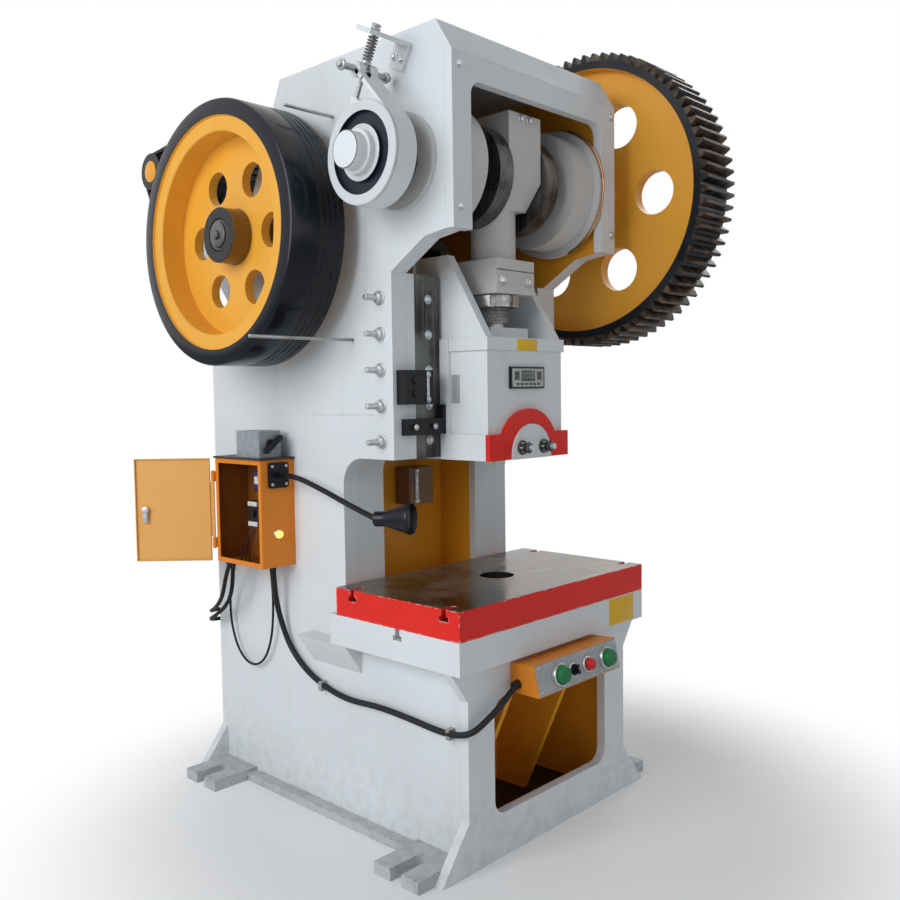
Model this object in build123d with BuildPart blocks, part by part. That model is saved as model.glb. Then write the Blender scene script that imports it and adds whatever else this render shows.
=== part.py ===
from build123d import *
from math import acos, atan2, cos, pi, radians, sin, sqrt, tan
import os

# An open-front C-frame power press with a geared drive, in millimetres.
# X runs to the operator's right, Y to the back, Z up from the floor. The ram slides on the Z axis.

# Table and bed
table_width = 900.0
table_depth = 508.0
table_thick = 85.0
table_top = 757.0
bed_thick = 94.0
drop_hole_radius = 55.0
bed_hole_radius = 75.0
slot_neck = 18.0
slot_neck_depth = 20.0
slot_head = 34.0
slot_head_height = 14.0
slot_length = 48.0
slot_front_y = -196.0
slot_rear_y = 181.0
bed_slot_y = -12.0

# Welded frame
frame_width = 770.0
plate_thick = 60.0
skin = 30.0
pedestal_front_y = -222.0
frame_rear_y = 994.0
frame_top = 2345.0
head_front_y = -193.0
head_bottom = 1785.0
head_shoulder = 2254.0
head_chamfer_run = 57.0
top_rear_y = 560.0
rear_knee = 1450.0
soffit_y = -80.0
soffit_drop = 12.0
guide_face_y = 56.0
guide_top = 1690.0
jaw_bottom = 1145.0
column_front_y = 286.0
throat_radius = 84.0
leg_width = 165.0
leg_wall = 25.0
web_front_y = 456.0
web_thick = 25.0
web_top = 1600.0
foot_spread = 994.0
foot_height = 147.0
shoulder_drop = 91.0
window_width = 550.0
window_sill = 128.0
window_head = 470.0
window_corner = 45.0
head_window_width = 620.0
head_window_top = 2187.0
head_window_corner = 38.0
gusset_thick = 20.0
gusset_spacing = 300.0
gusset_run = 320.0
gusset_toe = 110.0
lug_front_y = 218.0
lug_length = 235.0
lug_height = 95.0
pad_reach = 172.0
pad_length = 176.0
pad_thick = 36.0
anchor_slot = 44.0
anchor_depth = 95.0
rail_width = 40.0
rail_height = 26.0

# Drive train
crank_z = 1988.0
throw = 60.0
gear_module = 12.0
gear_teeth = 80
pinion_teeth = 20
gear_width = 175.0
gear_left_x = 453.0
gear_rim = 25.0
gear_web = 42.0
gear_web_inset = 40.0
gear_hub_radius = 125.0
gear_hub_proud = 14.0
gear_hole_radius = 72.0
gear_hole_circle = 275.0
tooth_slack = 1.2
drive_drop = 156.0
flywheel_radius = 400.0
flywheel_front_x = -641.0
flywheel_width = 191.0
flywheel_ring = 50.0
flywheel_lip = 46.0
flywheel_lip_inset = 8.0
flywheel_web_inset = 58.0
flywheel_web = 30.0
flywheel_hub_radius = 84.0
flywheel_hub_proud = 15.0
flywheel_hole_radius = 52.0
flywheel_hole_circle = 186.0
web_hole_count = 6
drive_shaft_radius = 50.0
drive_flange_radius = 115.0
drive_sleeve_radius = 85.0
drive_flange = 40.0
belt_count = 4
belt_width = 12.0
belt_thick = 11.0
belt_pitch = 21.0
belt_inset = 22.0
pulley_radius = 62.0
pulley_rim = 12.0
motor_y = 1095.0
motor_z = 2120.0
motor_radius = 118.0
motor_length = 300.0
motor_x = -390.0
motor_shaft_radius = 19.0
motor_bore_depth = 60.0
motor_fan_radius = 112.0
motor_fan_length = 70.0
motor_foot = 22.0
motor_foot_span = 200.0
motor_box = 90.0
motor_box_height = 46.0
shelf_thick = 24.0
shelf_width = 340.0
shelf_overhang = 120.0
shelf_rib = 24.0
journal_radius = 75.0
crank_pin_radius = 85.0
crank_web_radius = 152.0
crank_web = 60.0
rod_width = 150.0
rod_gap = 4.0
gear_seat_radius = 70.0
crank_end = 12.0
boss_radius = 184.0
boss_flange_radius = 206.0
boss_flange = 26.0
boss_root_radius = 160.0
left_boss_x = -230.0
right_boss_x = 190.0
sleeve_radius = 118.0
outer_ring_radius = 134.0
outer_ring = 16.0

# Band brake on the crankshaft's left end
drum_radius = 119.0
drum_front_x = -543.0
drum_width = 80.0
drum_recess = 12.0
drum_ring_radius = 104.0
drum_hub_radius = 72.0
brake_shaft_radius = 50.0
brake_shaft_proud = 55.0
band_thick = 12.0
band_inset = 2.0
band_slit = 18.0
band_lug = 14.0
band_lug_top = 2226.0
brake_pin_z = 2206.0
brake_pin_radius = 9.0
brake_pin_length = 186.0
spring_radius = 15.0
spring_rod_radius = 7.0
spring_rod_top = 2338.0
spring_bottom = 2238.0
spring_top = 2302.0
bracket_width = 60.0
bracket_thick = 12.0
bracket_reach = 155.0
bracket_foot = 70.0
guard_rod_radius = 8.0
lower_guard_y = 228.0
lower_guard_z = 1502.0
lower_guard_length = 405.0
upper_guard_y = 299.0
upper_guard_z = 2174.0
upper_guard_length = 330.0

# Ram, connecting rod and die clamp
ram_width = 356.0
ram_front_y = -126.0
ram_rear_y = 230.0
ram_bottom = 1137.0
ram_ledge = 1463.0
ram_top = 1502.0
ledge_proud = 7.0
ram_guide_width = 380.0
ram_guide_front_y = 20.0
ram_back = 65.0
wing_top = 1753.0
wing_thick = 30.0
wing_toe_y = -122.0
wing_top_y = 30.0
ram_foot_height = 78.0
cap_width = 180.0
cap_thick = 35.0
cap_front_y = -64.0
ball_radius = 52.0
ball_z = 1432.0
ball_room = 16.0
neck_radius = 34.0
neck_room = 5.0
screw_radius = 50.0
screw_bottom = 1553.0
screw_depth = 150.0
ring_nut_radius = 80.0
ring_nut_bottom = 1600.0
ring_nut_height = 36.0
clamp_width = 180.0
clamp_bottom = 1638.0
clamp_height = 104.0
rod_neck_radius = 70.0
rod_head_front = 131.0
rod_head_top = 2168.0
rod_head_bottom = 1975.0
rod_shoulder = 1895.0
gib_width = 104.0
gib_bolt_y = 107.0
gib_bolt_top = 1620.0
gib_bolt_pitch = 106.0
gib_bolt_count = 5
gib_nut_radius = 15.0
gib_nut = 13.0
gib_stud_radius = 9.0
gib_stud = 42.0
arch_z = 1150.0
arch_inner = 92.0
arch_outer = 138.0
arch_plate = 17.0
shank_radius = 30.0
shank_depth = 90.0
shank_split = 2.0
clamp_proud = 8.0
clamp_stud_x = 52.0
clamp_stud_z = 1172.0
clamp_stud_radius = 9.0
clamp_stud = 44.0
clamp_nut_radius = 17.0
clamp_nut = 16.0
display_width = 162.0
display_height = 66.0
display_thick = 9.0
display_z = 1382.0
switch_width = 118.0
switch_height = 100.0
switch_depth = 34.0
switch_z = 1357.0
switch_x = -312.0
trip_height = 48.0
trip_depth = 24.0
trip_z = 1240.0
trip_left_x = -354.0
trip_prong = 12.0
trip_prong_height = 64.0

# Cabinet, lamp and controls
cabinet_depth = 130.0
cabinet_width = 257.0
cabinet_height = 348.0
cabinet_bottom = 785.0
cabinet_front_y = 536.0
sheet = 4.0
cabinet_rim = 16.0
lid_thick = 6.0
lid_proud = 8.0
hinge_offset = 6.0
hinge_pin_radius = 4.0
knuckle_radius = 7.5
knuckle_length = 34.0
knuckle_share = 0.32
door_open = 136.5
door_gap = 1.5
door_skin = 3.0
door_flange = 9.0
door_start = 11.0
latch_radius = 11.0
latch_inset = 34.0
latch_proud = 9.0
latch_cam = 40.0
latch_cam_width = 14.0
isolator_width = 92.0
isolator_depth = 126.0
isolator_height = 86.0
isolator_x = -460.0
isolator_front_y = 558.0
isolator_corner = 8.0
lever_length = 84.0
lever_width = 18.0
lever_thick = 12.0
lever_angle = 38.0
lever_hub_radius = 16.0
lever_hub = 10.0
lever_pin_radius = 7.0
lever_pin = 16.0
contactor_width = 58.0
contactor_height = 84.0
contactor_depth = 78.0
contactor_y = 650.0
contactor_z = 950.0
relay_width = 52.0
relay_height = 66.0
relay_depth = 62.0
relay_y = 640.0
relay_z = 1058.0
lamp_flange_width = 76.0
lamp_flange_height = 82.0
lamp_flange_thick = 9.0
lamp_x = -450.0
lamp_z = 1083.0
lamp_neck_radius = 8.0
lamp_cap_radius = 22.0
lamp_cap = 34.0
lamp_cone_radius = 46.0
lamp_cone = 82.0
lamp_lens = 4.0
pilot_radius = 12.0
pilot_proud = 13.0
pilot_x = -454.0
pilot_z = 892.0
box_width = 406.0
box_top = 562.0
box_bottom = 476.0
box_roof = 86.0
box_roof_rise = 5.0
box_floor = 106.0
panel_thick = 3.0
panel_inset = 3.0
green_left_x = -102.0
green_right_x = 132.0
stop_x = 38.0
selector_x = -36.0
green_radius = 27.0
green_height = 20.0
green_gap = 11.0
stop_radius = 18.0
stop_height = 16.0
stop_gap = 9.0
stem_radius = 12.0
stem_depth = 34.0
selector_radius = 16.0
selector_height = 12.0
selector_grip = 9.0
selector_grip_length = 28.0
selector_grip_height = 14.0
oiler_width = 118.0
oiler_depth = 78.0
oiler_height = 128.0
oiler_x = 48.0
oiler_z = 1018.0
oiler_tube_radius = 9.0
oiler_tube_proud = 12.0
oiler_corner = 12.0
pipe_radius = 4.0
pipe_start = 110.0
pipe_sweep = 140.0

# Cables
cable_radius = 9.0
thin_cable_radius = 7.0
loop_cable_radius = 4.0
clip_width = 14.0
clip_height = 30.0
clip_depth = 25.0
clip_places = ((395.0, 411.0), (-165.0, 391.0))
bend_share = 0.45
lamp_route = (
    (-450.0, 527.0, 1083.0),
    (-450.0, 440.0, 1083.0),
    (-448.0, 320.0, 1057.0),
    (-445.0, 200.0, 1024.0),
    (-440.0, 95.0, 1000.0),
)
lamp_aim = (0.45, -0.89, 0.03)
control_cable_route = (
    (-440.0, 588.0, 785.0),
    (-438.0, 586.0, 730.0),
    (-428.0, 592.0, 665.0),
    (-412.0, 588.0, 590.0),
    (-400.0, 556.0, 505.0),
    (-398.0, 482.0, 446.0),
    (-398.0, 390.0, 411.0),
    (-398.0, 275.0, 391.0),
    (-398.0, 130.0, 402.0),
    (-398.0, -10.0, 396.0),
    (-398.0, -120.0, 387.0),
    (-406.0, -200.0, 396.0),
    (-398.0, -250.0, 412.0),
    (-330.0, -248.0, 434.0),
    (-270.0, -248.0, 462.0),
    (-228.0, -250.0, 492.0),
    (-203.0, -250.0, 503.0),
)
upper_cable_route = (
    (-500.0, 745.0, 785.0),
    (-505.0, 765.0, 735.0),
    (-498.0, 790.0, 685.0),
    (-480.0, 840.0, 635.0),
    (-455.0, 920.0, 590.0),
    (-425.0, 995.0, 565.0),
    (-380.0, 1024.0, 560.0),
    (-335.0, 1012.0, 560.0),
    (-325.0, 994.0, 560.0),
)
lower_cable_route = (
    (-470.0, 775.0, 785.0),
    (-468.0, 778.0, 720.0),
    (-455.0, 815.0, 650.0),
    (-445.0, 870.0, 600.0),
    (-440.0, 940.0, 560.0),
    (-425.0, 1000.0, 535.0),
    (-385.0, 1022.0, 525.0),
    (-340.0, 1012.0, 525.0),
    (-330.0, 994.0, 525.0),
)
loop_route = (
    (-420.0, 632.0, 785.0),
    (-414.0, 628.0, 700.0),
    (-410.0, 634.0, 610.0),
    (-408.0, 650.0, 520.0),
    (-406.0, 690.0, 445.0),
    (-405.0, 745.0, 410.0),
    (-405.0, 805.0, 413.0),
    (-405.0, 858.0, 456.0),
    (-406.0, 887.0, 527.0),
    (-410.0, 889.0, 590.0),
    (-425.0, 860.0, 665.0),
    (-442.0, 815.0, 725.0),
    (-450.0, 786.0, 785.0),
)

# Fits
run_gap = 0.05
seat_gap = 0.1
side_gap = 0.3
overrun = 5.0

# Places worked out from the sizes above
frame_half = frame_width / 2
inner_half = frame_half - plate_thick
table_half = table_width / 2
bed_top = table_top - table_thick
bed_bottom = bed_top - bed_thick
table_front_y = -table_depth / 2
leg_inner = frame_half - leg_width
gear_pitch_radius = gear_module * gear_teeth / 2
pinion_pitch_radius = gear_module * pinion_teeth / 2
centre_distance = gear_pitch_radius + pinion_pitch_radius
drive_z = crank_z - drive_drop
drive_y = sqrt(centre_distance**2 - drive_drop**2)
flywheel_rear_x = flywheel_front_x + flywheel_width
gear_right_x = gear_left_x + gear_width
pin_z = crank_z + throw
gib_half = ram_guide_width / 2 + side_gap
cheek_half = gib_half + gib_width
cabinet_face_x = -frame_half - cabinet_depth
cabinet_rear_y = cabinet_front_y + cabinet_width
cabinet_top = cabinet_bottom + cabinet_height
cabinet_mid_z = cabinet_bottom + cabinet_height / 2


def turned(steps, y, z):
    """Round steps along X for the part that is being built, each given as its two ends and its radius."""
    for start, end, radius in steps:
        with BuildSketch(Plane.YZ.offset(start)) as outline:
            with Locations((y, z)):
                Circle(radius)
        extrude(outline.sketch, amount=end - start)


def bore_x(start, end, y, z, radius):
    """A round hole along X, cut from the part that is being built."""
    with BuildSketch(Plane.YZ.offset(start)) as outline:
        with Locations((y, z)):
            Circle(radius)
    extrude(outline.sketch, amount=end - start, mode=Mode.SUBTRACT)


def block(x, y, z, mode=Mode.ADD):
    """A box given by its lowest and highest X, Y and Z."""
    with Locations(((x[0] + x[1]) / 2, (y[0] + y[1]) / 2, (z[0] + z[1]) / 2)):
        Box(x[1] - x[0], y[1] - y[0], z[1] - z[0], mode=mode)


def mirrored(piece):
    """A piece and its mirror image across the press's centre plane, as two solids."""
    with BuildPart() as pair:
        add(piece.part)
        mirror(piece.part, about=Plane.YZ)
    return pair


# Side plates: flame-cut C shapes with the crank and drive-shaft bores
with BuildPart() as left_side_plate:
    with BuildSketch(Plane.YZ.offset(-frame_half)) as side_outline:
        with BuildLine():
            Polyline(
                (pedestal_front_y + skin, 0),
                (pedestal_front_y + skin, bed_bottom),
                (column_front_y, bed_bottom),
                (column_front_y, jaw_bottom),
                (guide_face_y, jaw_bottom),
                (guide_face_y, guide_top),
                (soffit_y, head_bottom - soffit_drop),
                (head_front_y + skin, head_bottom),
                (head_front_y + skin, head_shoulder),
                (head_front_y, head_shoulder),
                (head_front_y + head_chamfer_run, frame_top),
                (top_rear_y, frame_top),
                (frame_rear_y, rear_knee),
                (frame_rear_y - skin, rear_knee),
                (frame_rear_y - skin, 0),
                close=True,
            )
        make_face()
        throat_corner = side_outline.vertices().sort_by_distance((column_front_y, jaw_bottom, 0))[0]
        fillet(throat_corner, throat_radius)
    extrude(amount=plate_thick)
    bore_x(-frame_half, -inner_half, 0, crank_z, sleeve_radius + seat_gap)
    bore_x(-frame_half, -inner_half, drive_y, drive_z, drive_sleeve_radius + seat_gap)

with BuildPart() as right_side_plate:
    mirror(left_side_plate.part, about=Plane.YZ)

# Pedestal front plate: a window, flared feet and shoulders that spread to the bed's width
with BuildPart() as pedestal_front_plate:
    with BuildSketch(Plane.XZ.offset(-pedestal_front_y - skin)) as front_outline:
        with BuildLine():
            Polyline(
                (-foot_spread / 2, 0),
                (-frame_half, foot_height),
                (-frame_half, bed_bottom - shoulder_drop),
                (-table_half, bed_bottom),
                (table_half, bed_bottom),
                (frame_half, bed_bottom - shoulder_drop),
                (frame_half, foot_height),
                (foot_spread / 2, 0),
                close=True,
            )
        make_face()
        with Locations((0, (window_sill + window_head) / 2)):
            RectangleRounded(window_width, window_head - window_sill, window_corner, mode=Mode.SUBTRACT)
    extrude(amount=skin)

# Rear plate: closes the column and carries the rear feet
with BuildPart() as rear_plate:
    with BuildSketch(Plane.XZ.offset(-frame_rear_y)):
        with BuildLine():
            Polyline(
                (-foot_spread / 2, 0),
                (-frame_half, foot_height),
                (-frame_half, rear_knee),
                (frame_half, rear_knee),
                (frame_half, foot_height),
                (foot_spread / 2, 0),
                close=True,
            )
        make_face()
    extrude(amount=skin)

# Sloping rear plate between the side plates, with the welded motor shelf on it
slope_run = frame_rear_y - top_rear_y
slope_rise = frame_top - rear_knee
slope_drop = skin * slope_rise / sqrt(slope_run**2 + slope_rise**2)
slope_inset = skin * sqrt(slope_run**2 + slope_rise**2) / slope_rise
shelf_top = motor_z - motor_radius - motor_foot
shelf_y = top_rear_y + slope_run * (frame_top - shelf_top) / slope_rise
shelf_end_y = motor_y + shelf_overhang
shelf_left = -inner_half
with BuildPart() as rear_slope_plate:
    with BuildSketch(Plane.YZ.offset(-inner_half)):
        with BuildLine():
            Polyline(
                (top_rear_y, frame_top),
                (frame_rear_y, rear_knee),
                (frame_rear_y - slope_inset, rear_knee),
                (top_rear_y - slope_inset, frame_top),
                close=True,
            )
        make_face()
    extrude(amount=2 * inner_half)
    block(
        (shelf_left, shelf_left + shelf_width),
        (shelf_y - slope_drop, shelf_end_y),
        (shelf_top - shelf_thick, shelf_top),
    )
    for rib_x in (shelf_left, shelf_left + shelf_width - shelf_rib):
        with BuildSketch(Plane.YZ.offset(rib_x)):
            with BuildLine():
                Polyline(
                    (shelf_y - slope_drop, shelf_top - shelf_thick),
                    (shelf_end_y, shelf_top - shelf_thick),
                    (frame_rear_y - slope_inset / 2, rear_knee + slope_rise / 4),
                    close=True,
                )
            make_face()
        extrude(amount=shelf_rib)

# Bed block: the thick plate that carries the table, with a drop hole and a bolt slot each side
with BuildPart() as bed_block:
    block((-table_half, table_half), (table_front_y, column_front_y), (bed_bottom, bed_top))
    with Locations((0, 0, (bed_bottom + bed_top) / 2)):
        Cylinder(bed_hole_radius, bed_thick + overrun, mode=Mode.SUBTRACT)
    for side in (-1, 1):
        side_x = sorted((side * table_half, side * (table_half - slot_length)))
        block(side_x, (bed_slot_y - slot_neck / 2, bed_slot_y + slot_neck / 2),
              (bed_top - slot_neck_depth, bed_top), Mode.SUBTRACT)
        block(side_x, (bed_slot_y - slot_head / 2, bed_slot_y + slot_head / 2),
              (bed_top - slot_neck_depth - slot_head_height, bed_top - slot_neck_depth), Mode.SUBTRACT)

# Bolster table: a drop hole in the middle and short T-slots at its ends
with BuildPart() as bolster_table:
    block((-table_half, table_half), (table_front_y, -table_front_y), (bed_top, table_top))
    with Locations((0, 0, (bed_top + table_top) / 2)):
        Cylinder(drop_hole_radius, table_thick + overrun, mode=Mode.SUBTRACT)
    for side in (-1, 1):
        side_x = sorted((side * table_half, side * (table_half - slot_length)))
        for slot_y in (slot_front_y, slot_rear_y):
            block(side_x, (slot_y - slot_neck / 2, slot_y + slot_neck / 2),
                  (table_top - slot_neck_depth, table_top), Mode.SUBTRACT)
            block(side_x, (slot_y - slot_head / 2, slot_y + slot_head / 2),
                  (table_top - slot_neck_depth - slot_head_height, table_top - slot_neck_depth), Mode.SUBTRACT)

# Leg boxes: front flange with the throat curve, and the inner wall of each leg
flange_front_y = ram_rear_y + side_gap
with BuildPart() as left_leg_box:
    with BuildSketch(Plane.YZ.offset(-inner_half)) as leg_outline:
        with BuildLine():
            Polyline(
                (column_front_y, bed_bottom),
                (column_front_y, jaw_bottom),
                (flange_front_y, jaw_bottom),
                (flange_front_y, jaw_bottom + skin),
                (column_front_y + skin, jaw_bottom + skin),
                (column_front_y + skin, bed_bottom),
                close=True,
            )
        make_face()
        leg_corner = leg_outline.vertices().sort_by_distance((column_front_y, jaw_bottom, 0))[0]
        fillet(leg_corner, column_front_y - flange_front_y - side_gap)
    extrude(amount=inner_half - leg_inner)
    block((-leg_inner - leg_wall, -leg_inner), (column_front_y + skin, web_front_y), (bed_bottom, jaw_bottom + skin))
leg_boxes = mirrored(left_leg_box)

# Column web: the plate across the back of the throat
with BuildPart() as column_web:
    block((-inner_half, inner_half), (web_front_y, web_front_y + web_thick), (bed_bottom, web_top))

# Head front plate: a window with rounded upper corners, open at the bottom
with BuildPart() as head_front_plate:
    with BuildSketch(Plane.XZ.offset(-head_front_y - skin)) as head_outline:
        with Locations((0, (head_bottom + head_shoulder) / 2)):
            Rectangle(frame_width, head_shoulder - head_bottom)
        with Locations((0, (head_bottom - overrun + head_window_top) / 2)):
            Rectangle(head_window_width, head_window_top - head_bottom + overrun, mode=Mode.SUBTRACT)
        upper_corners = head_outline.vertices().filter_by_position(
            Axis.Y, head_window_top - side_gap, head_window_top + side_gap)
        fillet(upper_corners, head_window_corner)
    extrude(amount=skin)

# Top plate: folded down at the front along the head's chamfer
chamfer_rise = frame_top - head_shoulder
chamfer_length = sqrt(head_chamfer_run**2 + chamfer_rise**2)
fold_run = skin * (chamfer_length - head_chamfer_run) / chamfer_rise
with BuildPart() as top_plate:
    with BuildSketch(Plane.YZ.offset(-inner_half)):
        with BuildLine():
            Polyline(
                (head_front_y, head_shoulder),
                (head_front_y + head_chamfer_run, frame_top),
                (top_rear_y - slope_inset, frame_top),
                (top_rear_y - slope_inset, frame_top - skin),
                (head_front_y + head_chamfer_run + fold_run, frame_top - skin),
                (head_front_y + skin * chamfer_length / chamfer_rise, head_shoulder),
                close=True,
            )
        make_face()
    extrude(amount=2 * inner_half)

# Pedestal gussets: two ribs behind the window and the wall that they stand against
gusset_front_y = pedestal_front_y + skin
with BuildPart() as pedestal_gussets:
    for side in (-1, 1):
        with BuildSketch(Plane.YZ.offset(side * gusset_spacing / 2 - gusset_thick / 2)):
            with BuildLine():
                Polyline(
                    (gusset_front_y + gusset_run - gusset_toe, 0),
                    (gusset_front_y + gusset_run, 0),
                    (gusset_front_y + gusset_run, bed_bottom),
                    (gusset_front_y, bed_bottom),
                    (gusset_front_y, window_head),
                    close=True,
                )
            make_face()
        extrude(amount=gusset_thick)
    block((-inner_half, inner_half), (gusset_front_y + gusset_run, gusset_front_y + gusset_run + gusset_thick),
          (0, bed_bottom))

# Floor skids: a low rail along each side with slotted anchor pads at its ends
skid_front_y = pedestal_front_y + skin
skid_rear_y = frame_rear_y - skin
with BuildPart() as left_skid:
    block((-frame_half - rail_width, -frame_half), (skid_front_y, skid_rear_y), (0, rail_height))
    for pad_y in (skid_front_y, skid_rear_y - pad_length):
        block((-frame_half - pad_reach, -frame_half), (pad_y, pad_y + pad_length), (0, pad_thick))
        slot_mid_y = pad_y + pad_length / 2
        slot_end_x = -frame_half - pad_reach + anchor_depth
        block((-frame_half - pad_reach, slot_end_x), (slot_mid_y - anchor_slot / 2, slot_mid_y + anchor_slot / 2),
              (0, pad_thick), Mode.SUBTRACT)
        with Locations((slot_end_x, slot_mid_y, pad_thick / 2)):
            Cylinder(anchor_slot / 2, pad_thick, mode=Mode.SUBTRACT)
floor_skids = mirrored(left_skid)

# Side lugs: wedges welded under the bed's overhang along each side wall
with BuildPart() as left_lug:
    with BuildSketch(Plane.XZ.offset(-lug_front_y - lug_length)):
        with BuildLine():
            Polyline(
                (-frame_half, bed_bottom),
                (-table_half, bed_bottom),
                (-frame_half, bed_bottom - lug_height),
                close=True,
            )
        make_face()
    extrude(amount=lug_length)
side_lugs = mirrored(left_lug)

# Crank bearings: bosses inside the head, sleeves through the plates and rings outside
boss_root_x = head_window_width / 2 - side_gap
with BuildPart() as crank_bearings:
    turned(
        (
            (-frame_half - outer_ring, -frame_half, outer_ring_radius),
            (-frame_half, -inner_half, sleeve_radius),
            (-inner_half, -boss_root_x, boss_root_radius),
            (-boss_root_x, left_boss_x, boss_radius),
            (right_boss_x, boss_root_x - boss_flange, boss_radius),
            (boss_root_x - boss_flange, boss_root_x, boss_flange_radius),
            (boss_root_x, inner_half, boss_root_radius),
            (inner_half, frame_half, sleeve_radius),
            (frame_half, frame_half + outer_ring, outer_ring_radius),
        ), 0, crank_z)
    bore_x(-frame_half - outer_ring, frame_half + outer_ring, 0, crank_z, journal_radius + run_gap)

# Drive-shaft bearings: flanged housings on both side plates
with BuildPart() as drive_bearings:
    turned(
        (
            (-frame_half - drive_flange, -frame_half, drive_flange_radius),
            (-frame_half, -inner_half, drive_sleeve_radius),
            (inner_half, frame_half, drive_sleeve_radius),
            (frame_half, frame_half + drive_flange, drive_flange_radius),
        ), drive_y, drive_z)
    bore_x(-frame_half - drive_flange, frame_half + drive_flange, drive_y, drive_z, drive_shaft_radius + run_gap)

# Guide cheeks and gib strips that the ram slides between
with BuildPart() as left_cheek:
    block((-inner_half, -cheek_half), (guide_face_y, ram_rear_y), (jaw_bottom, guide_top))
guide_cheeks = mirrored(left_cheek)
with BuildPart() as left_gib:
    block((-cheek_half, -gib_half), (guide_face_y, ram_rear_y), (jaw_bottom, guide_top))
gib_strips = mirrored(left_gib)

# Gib adjusting bolts: a stud and lock nut at each place, both sides
with BuildPart() as left_gib_bolts:
    for number in range(gib_bolt_count):
        bolt_z = gib_bolt_top - number * gib_bolt_pitch
        with BuildSketch(Plane.YZ.offset(-frame_half - gib_nut)):
            with Locations((gib_bolt_y, bolt_z)):
                RegularPolygon(gib_nut_radius, 6)
        extrude(amount=gib_nut)
        with BuildSketch(Plane.YZ.offset(-frame_half - gib_stud)):
            with Locations((gib_bolt_y, bolt_z)):
                Circle(gib_stud_radius)
        extrude(amount=gib_stud)
gib_bolts = mirrored(left_gib_bolts)

# Crankshaft: journals, two round webs and the pin between them
web_start = rod_width / 2 + rod_gap
drum_rear_x = drum_front_x + drum_width
gear_hub_x = (gear_left_x - gear_hub_proud, gear_right_x + gear_hub_proud)
with BuildPart() as crankshaft:
    turned(
        (
            (drum_front_x - brake_shaft_proud, drum_rear_x, brake_shaft_radius),
            (drum_rear_x, -web_start - crank_web, journal_radius),
            (-web_start - crank_web, -web_start, crank_web_radius),
            (web_start, web_start + crank_web, crank_web_radius),
            (web_start + crank_web, gear_hub_x[0] - side_gap, journal_radius),
            (gear_hub_x[0] - side_gap, gear_hub_x[1] + crank_end, gear_seat_radius),
        ), 0, crank_z)
    turned(((-web_start, web_start, crank_pin_radius),), 0, pin_z)

# Brake drum on the crankshaft, with a sunk ring in its face
with BuildPart() as brake_drum:
    turned(((drum_front_x, drum_rear_x, drum_radius),), 0, crank_z)
    with BuildSketch(Plane.YZ.offset(drum_front_x)):
        with Locations((0, crank_z)):
            Circle(drum_ring_radius)
            Circle(drum_hub_radius, mode=Mode.SUBTRACT)
    extrude(amount=drum_recess, mode=Mode.SUBTRACT)
    bore_x(drum_front_x, drum_rear_x, 0, crank_z, brake_shaft_radius + seat_gap)

# Brake band: a lined strip round the drum, split at the top, with its two ends turned up as lugs
band_inner = drum_radius + side_gap
band_outer = band_inner + band_thick
band_x = (drum_front_x + band_inset, drum_rear_x - band_inset)
with BuildPart() as brake_band:
    with BuildSketch(Plane.YZ.offset(band_x[0])):
        with Locations((0, crank_z)):
            Circle(band_outer)
        for side in (-1, 1):
            lug_mid_y = side * (band_slit + band_lug) / 2
            with Locations((lug_mid_y, (crank_z + band_inner + band_lug_top) / 2)):
                Rectangle(band_lug, band_lug_top - crank_z - band_inner)
        with Locations((0, crank_z)):
            Circle(band_inner, mode=Mode.SUBTRACT)
        with Locations((0, crank_z + band_outer)):
            Rectangle(band_slit, 4 * band_thick, mode=Mode.SUBTRACT)
    extrude(amount=band_x[1] - band_x[0])

# Brake spring rod: a cross pin between the lugs, and the sprung rod that pulls it up
band_mid_x = (band_x[0] + band_x[1]) / 2
with BuildPart() as brake_spring_rod:
    turned(((band_mid_x - brake_pin_length / 2, band_mid_x + brake_pin_length / 2, brake_pin_radius),),
           0, brake_pin_z)
    with Locations((band_mid_x, 0, (brake_pin_z + spring_rod_top) / 2)):
        Cylinder(spring_rod_radius, spring_rod_top - brake_pin_z)
    with Locations((band_mid_x, 0, (spring_bottom + spring_top) / 2)):
        Cylinder(spring_radius, spring_top - spring_bottom)

# Brake bracket: an angle bolted to the side plate that the spring pushes against
bracket_tip_x = -frame_half - bracket_reach
with BuildPart() as brake_bracket:
    block((bracket_tip_x, -frame_half), (-bracket_width / 2, bracket_width / 2),
          (spring_top, spring_top + bracket_thick))
    block((-frame_half - bracket_thick, -frame_half), (-bracket_width / 2, bracket_width / 2),
          (spring_top - bracket_foot, spring_top))
    with Locations((band_mid_x, 0, spring_top + bracket_thick / 2)):
        Cylinder(spring_rod_radius + side_gap, bracket_thick, mode=Mode.SUBTRACT)

# Guard rods: two plain bars that stand out of the left plate in front of the flywheel
with BuildPart() as guard_rods:
    turned(((-frame_half - lower_guard_length, -frame_half, guard_rod_radius),), lower_guard_y, lower_guard_z)
    turned(((-frame_half - upper_guard_length, -frame_half, guard_rod_radius),), upper_guard_y, upper_guard_z)

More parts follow.
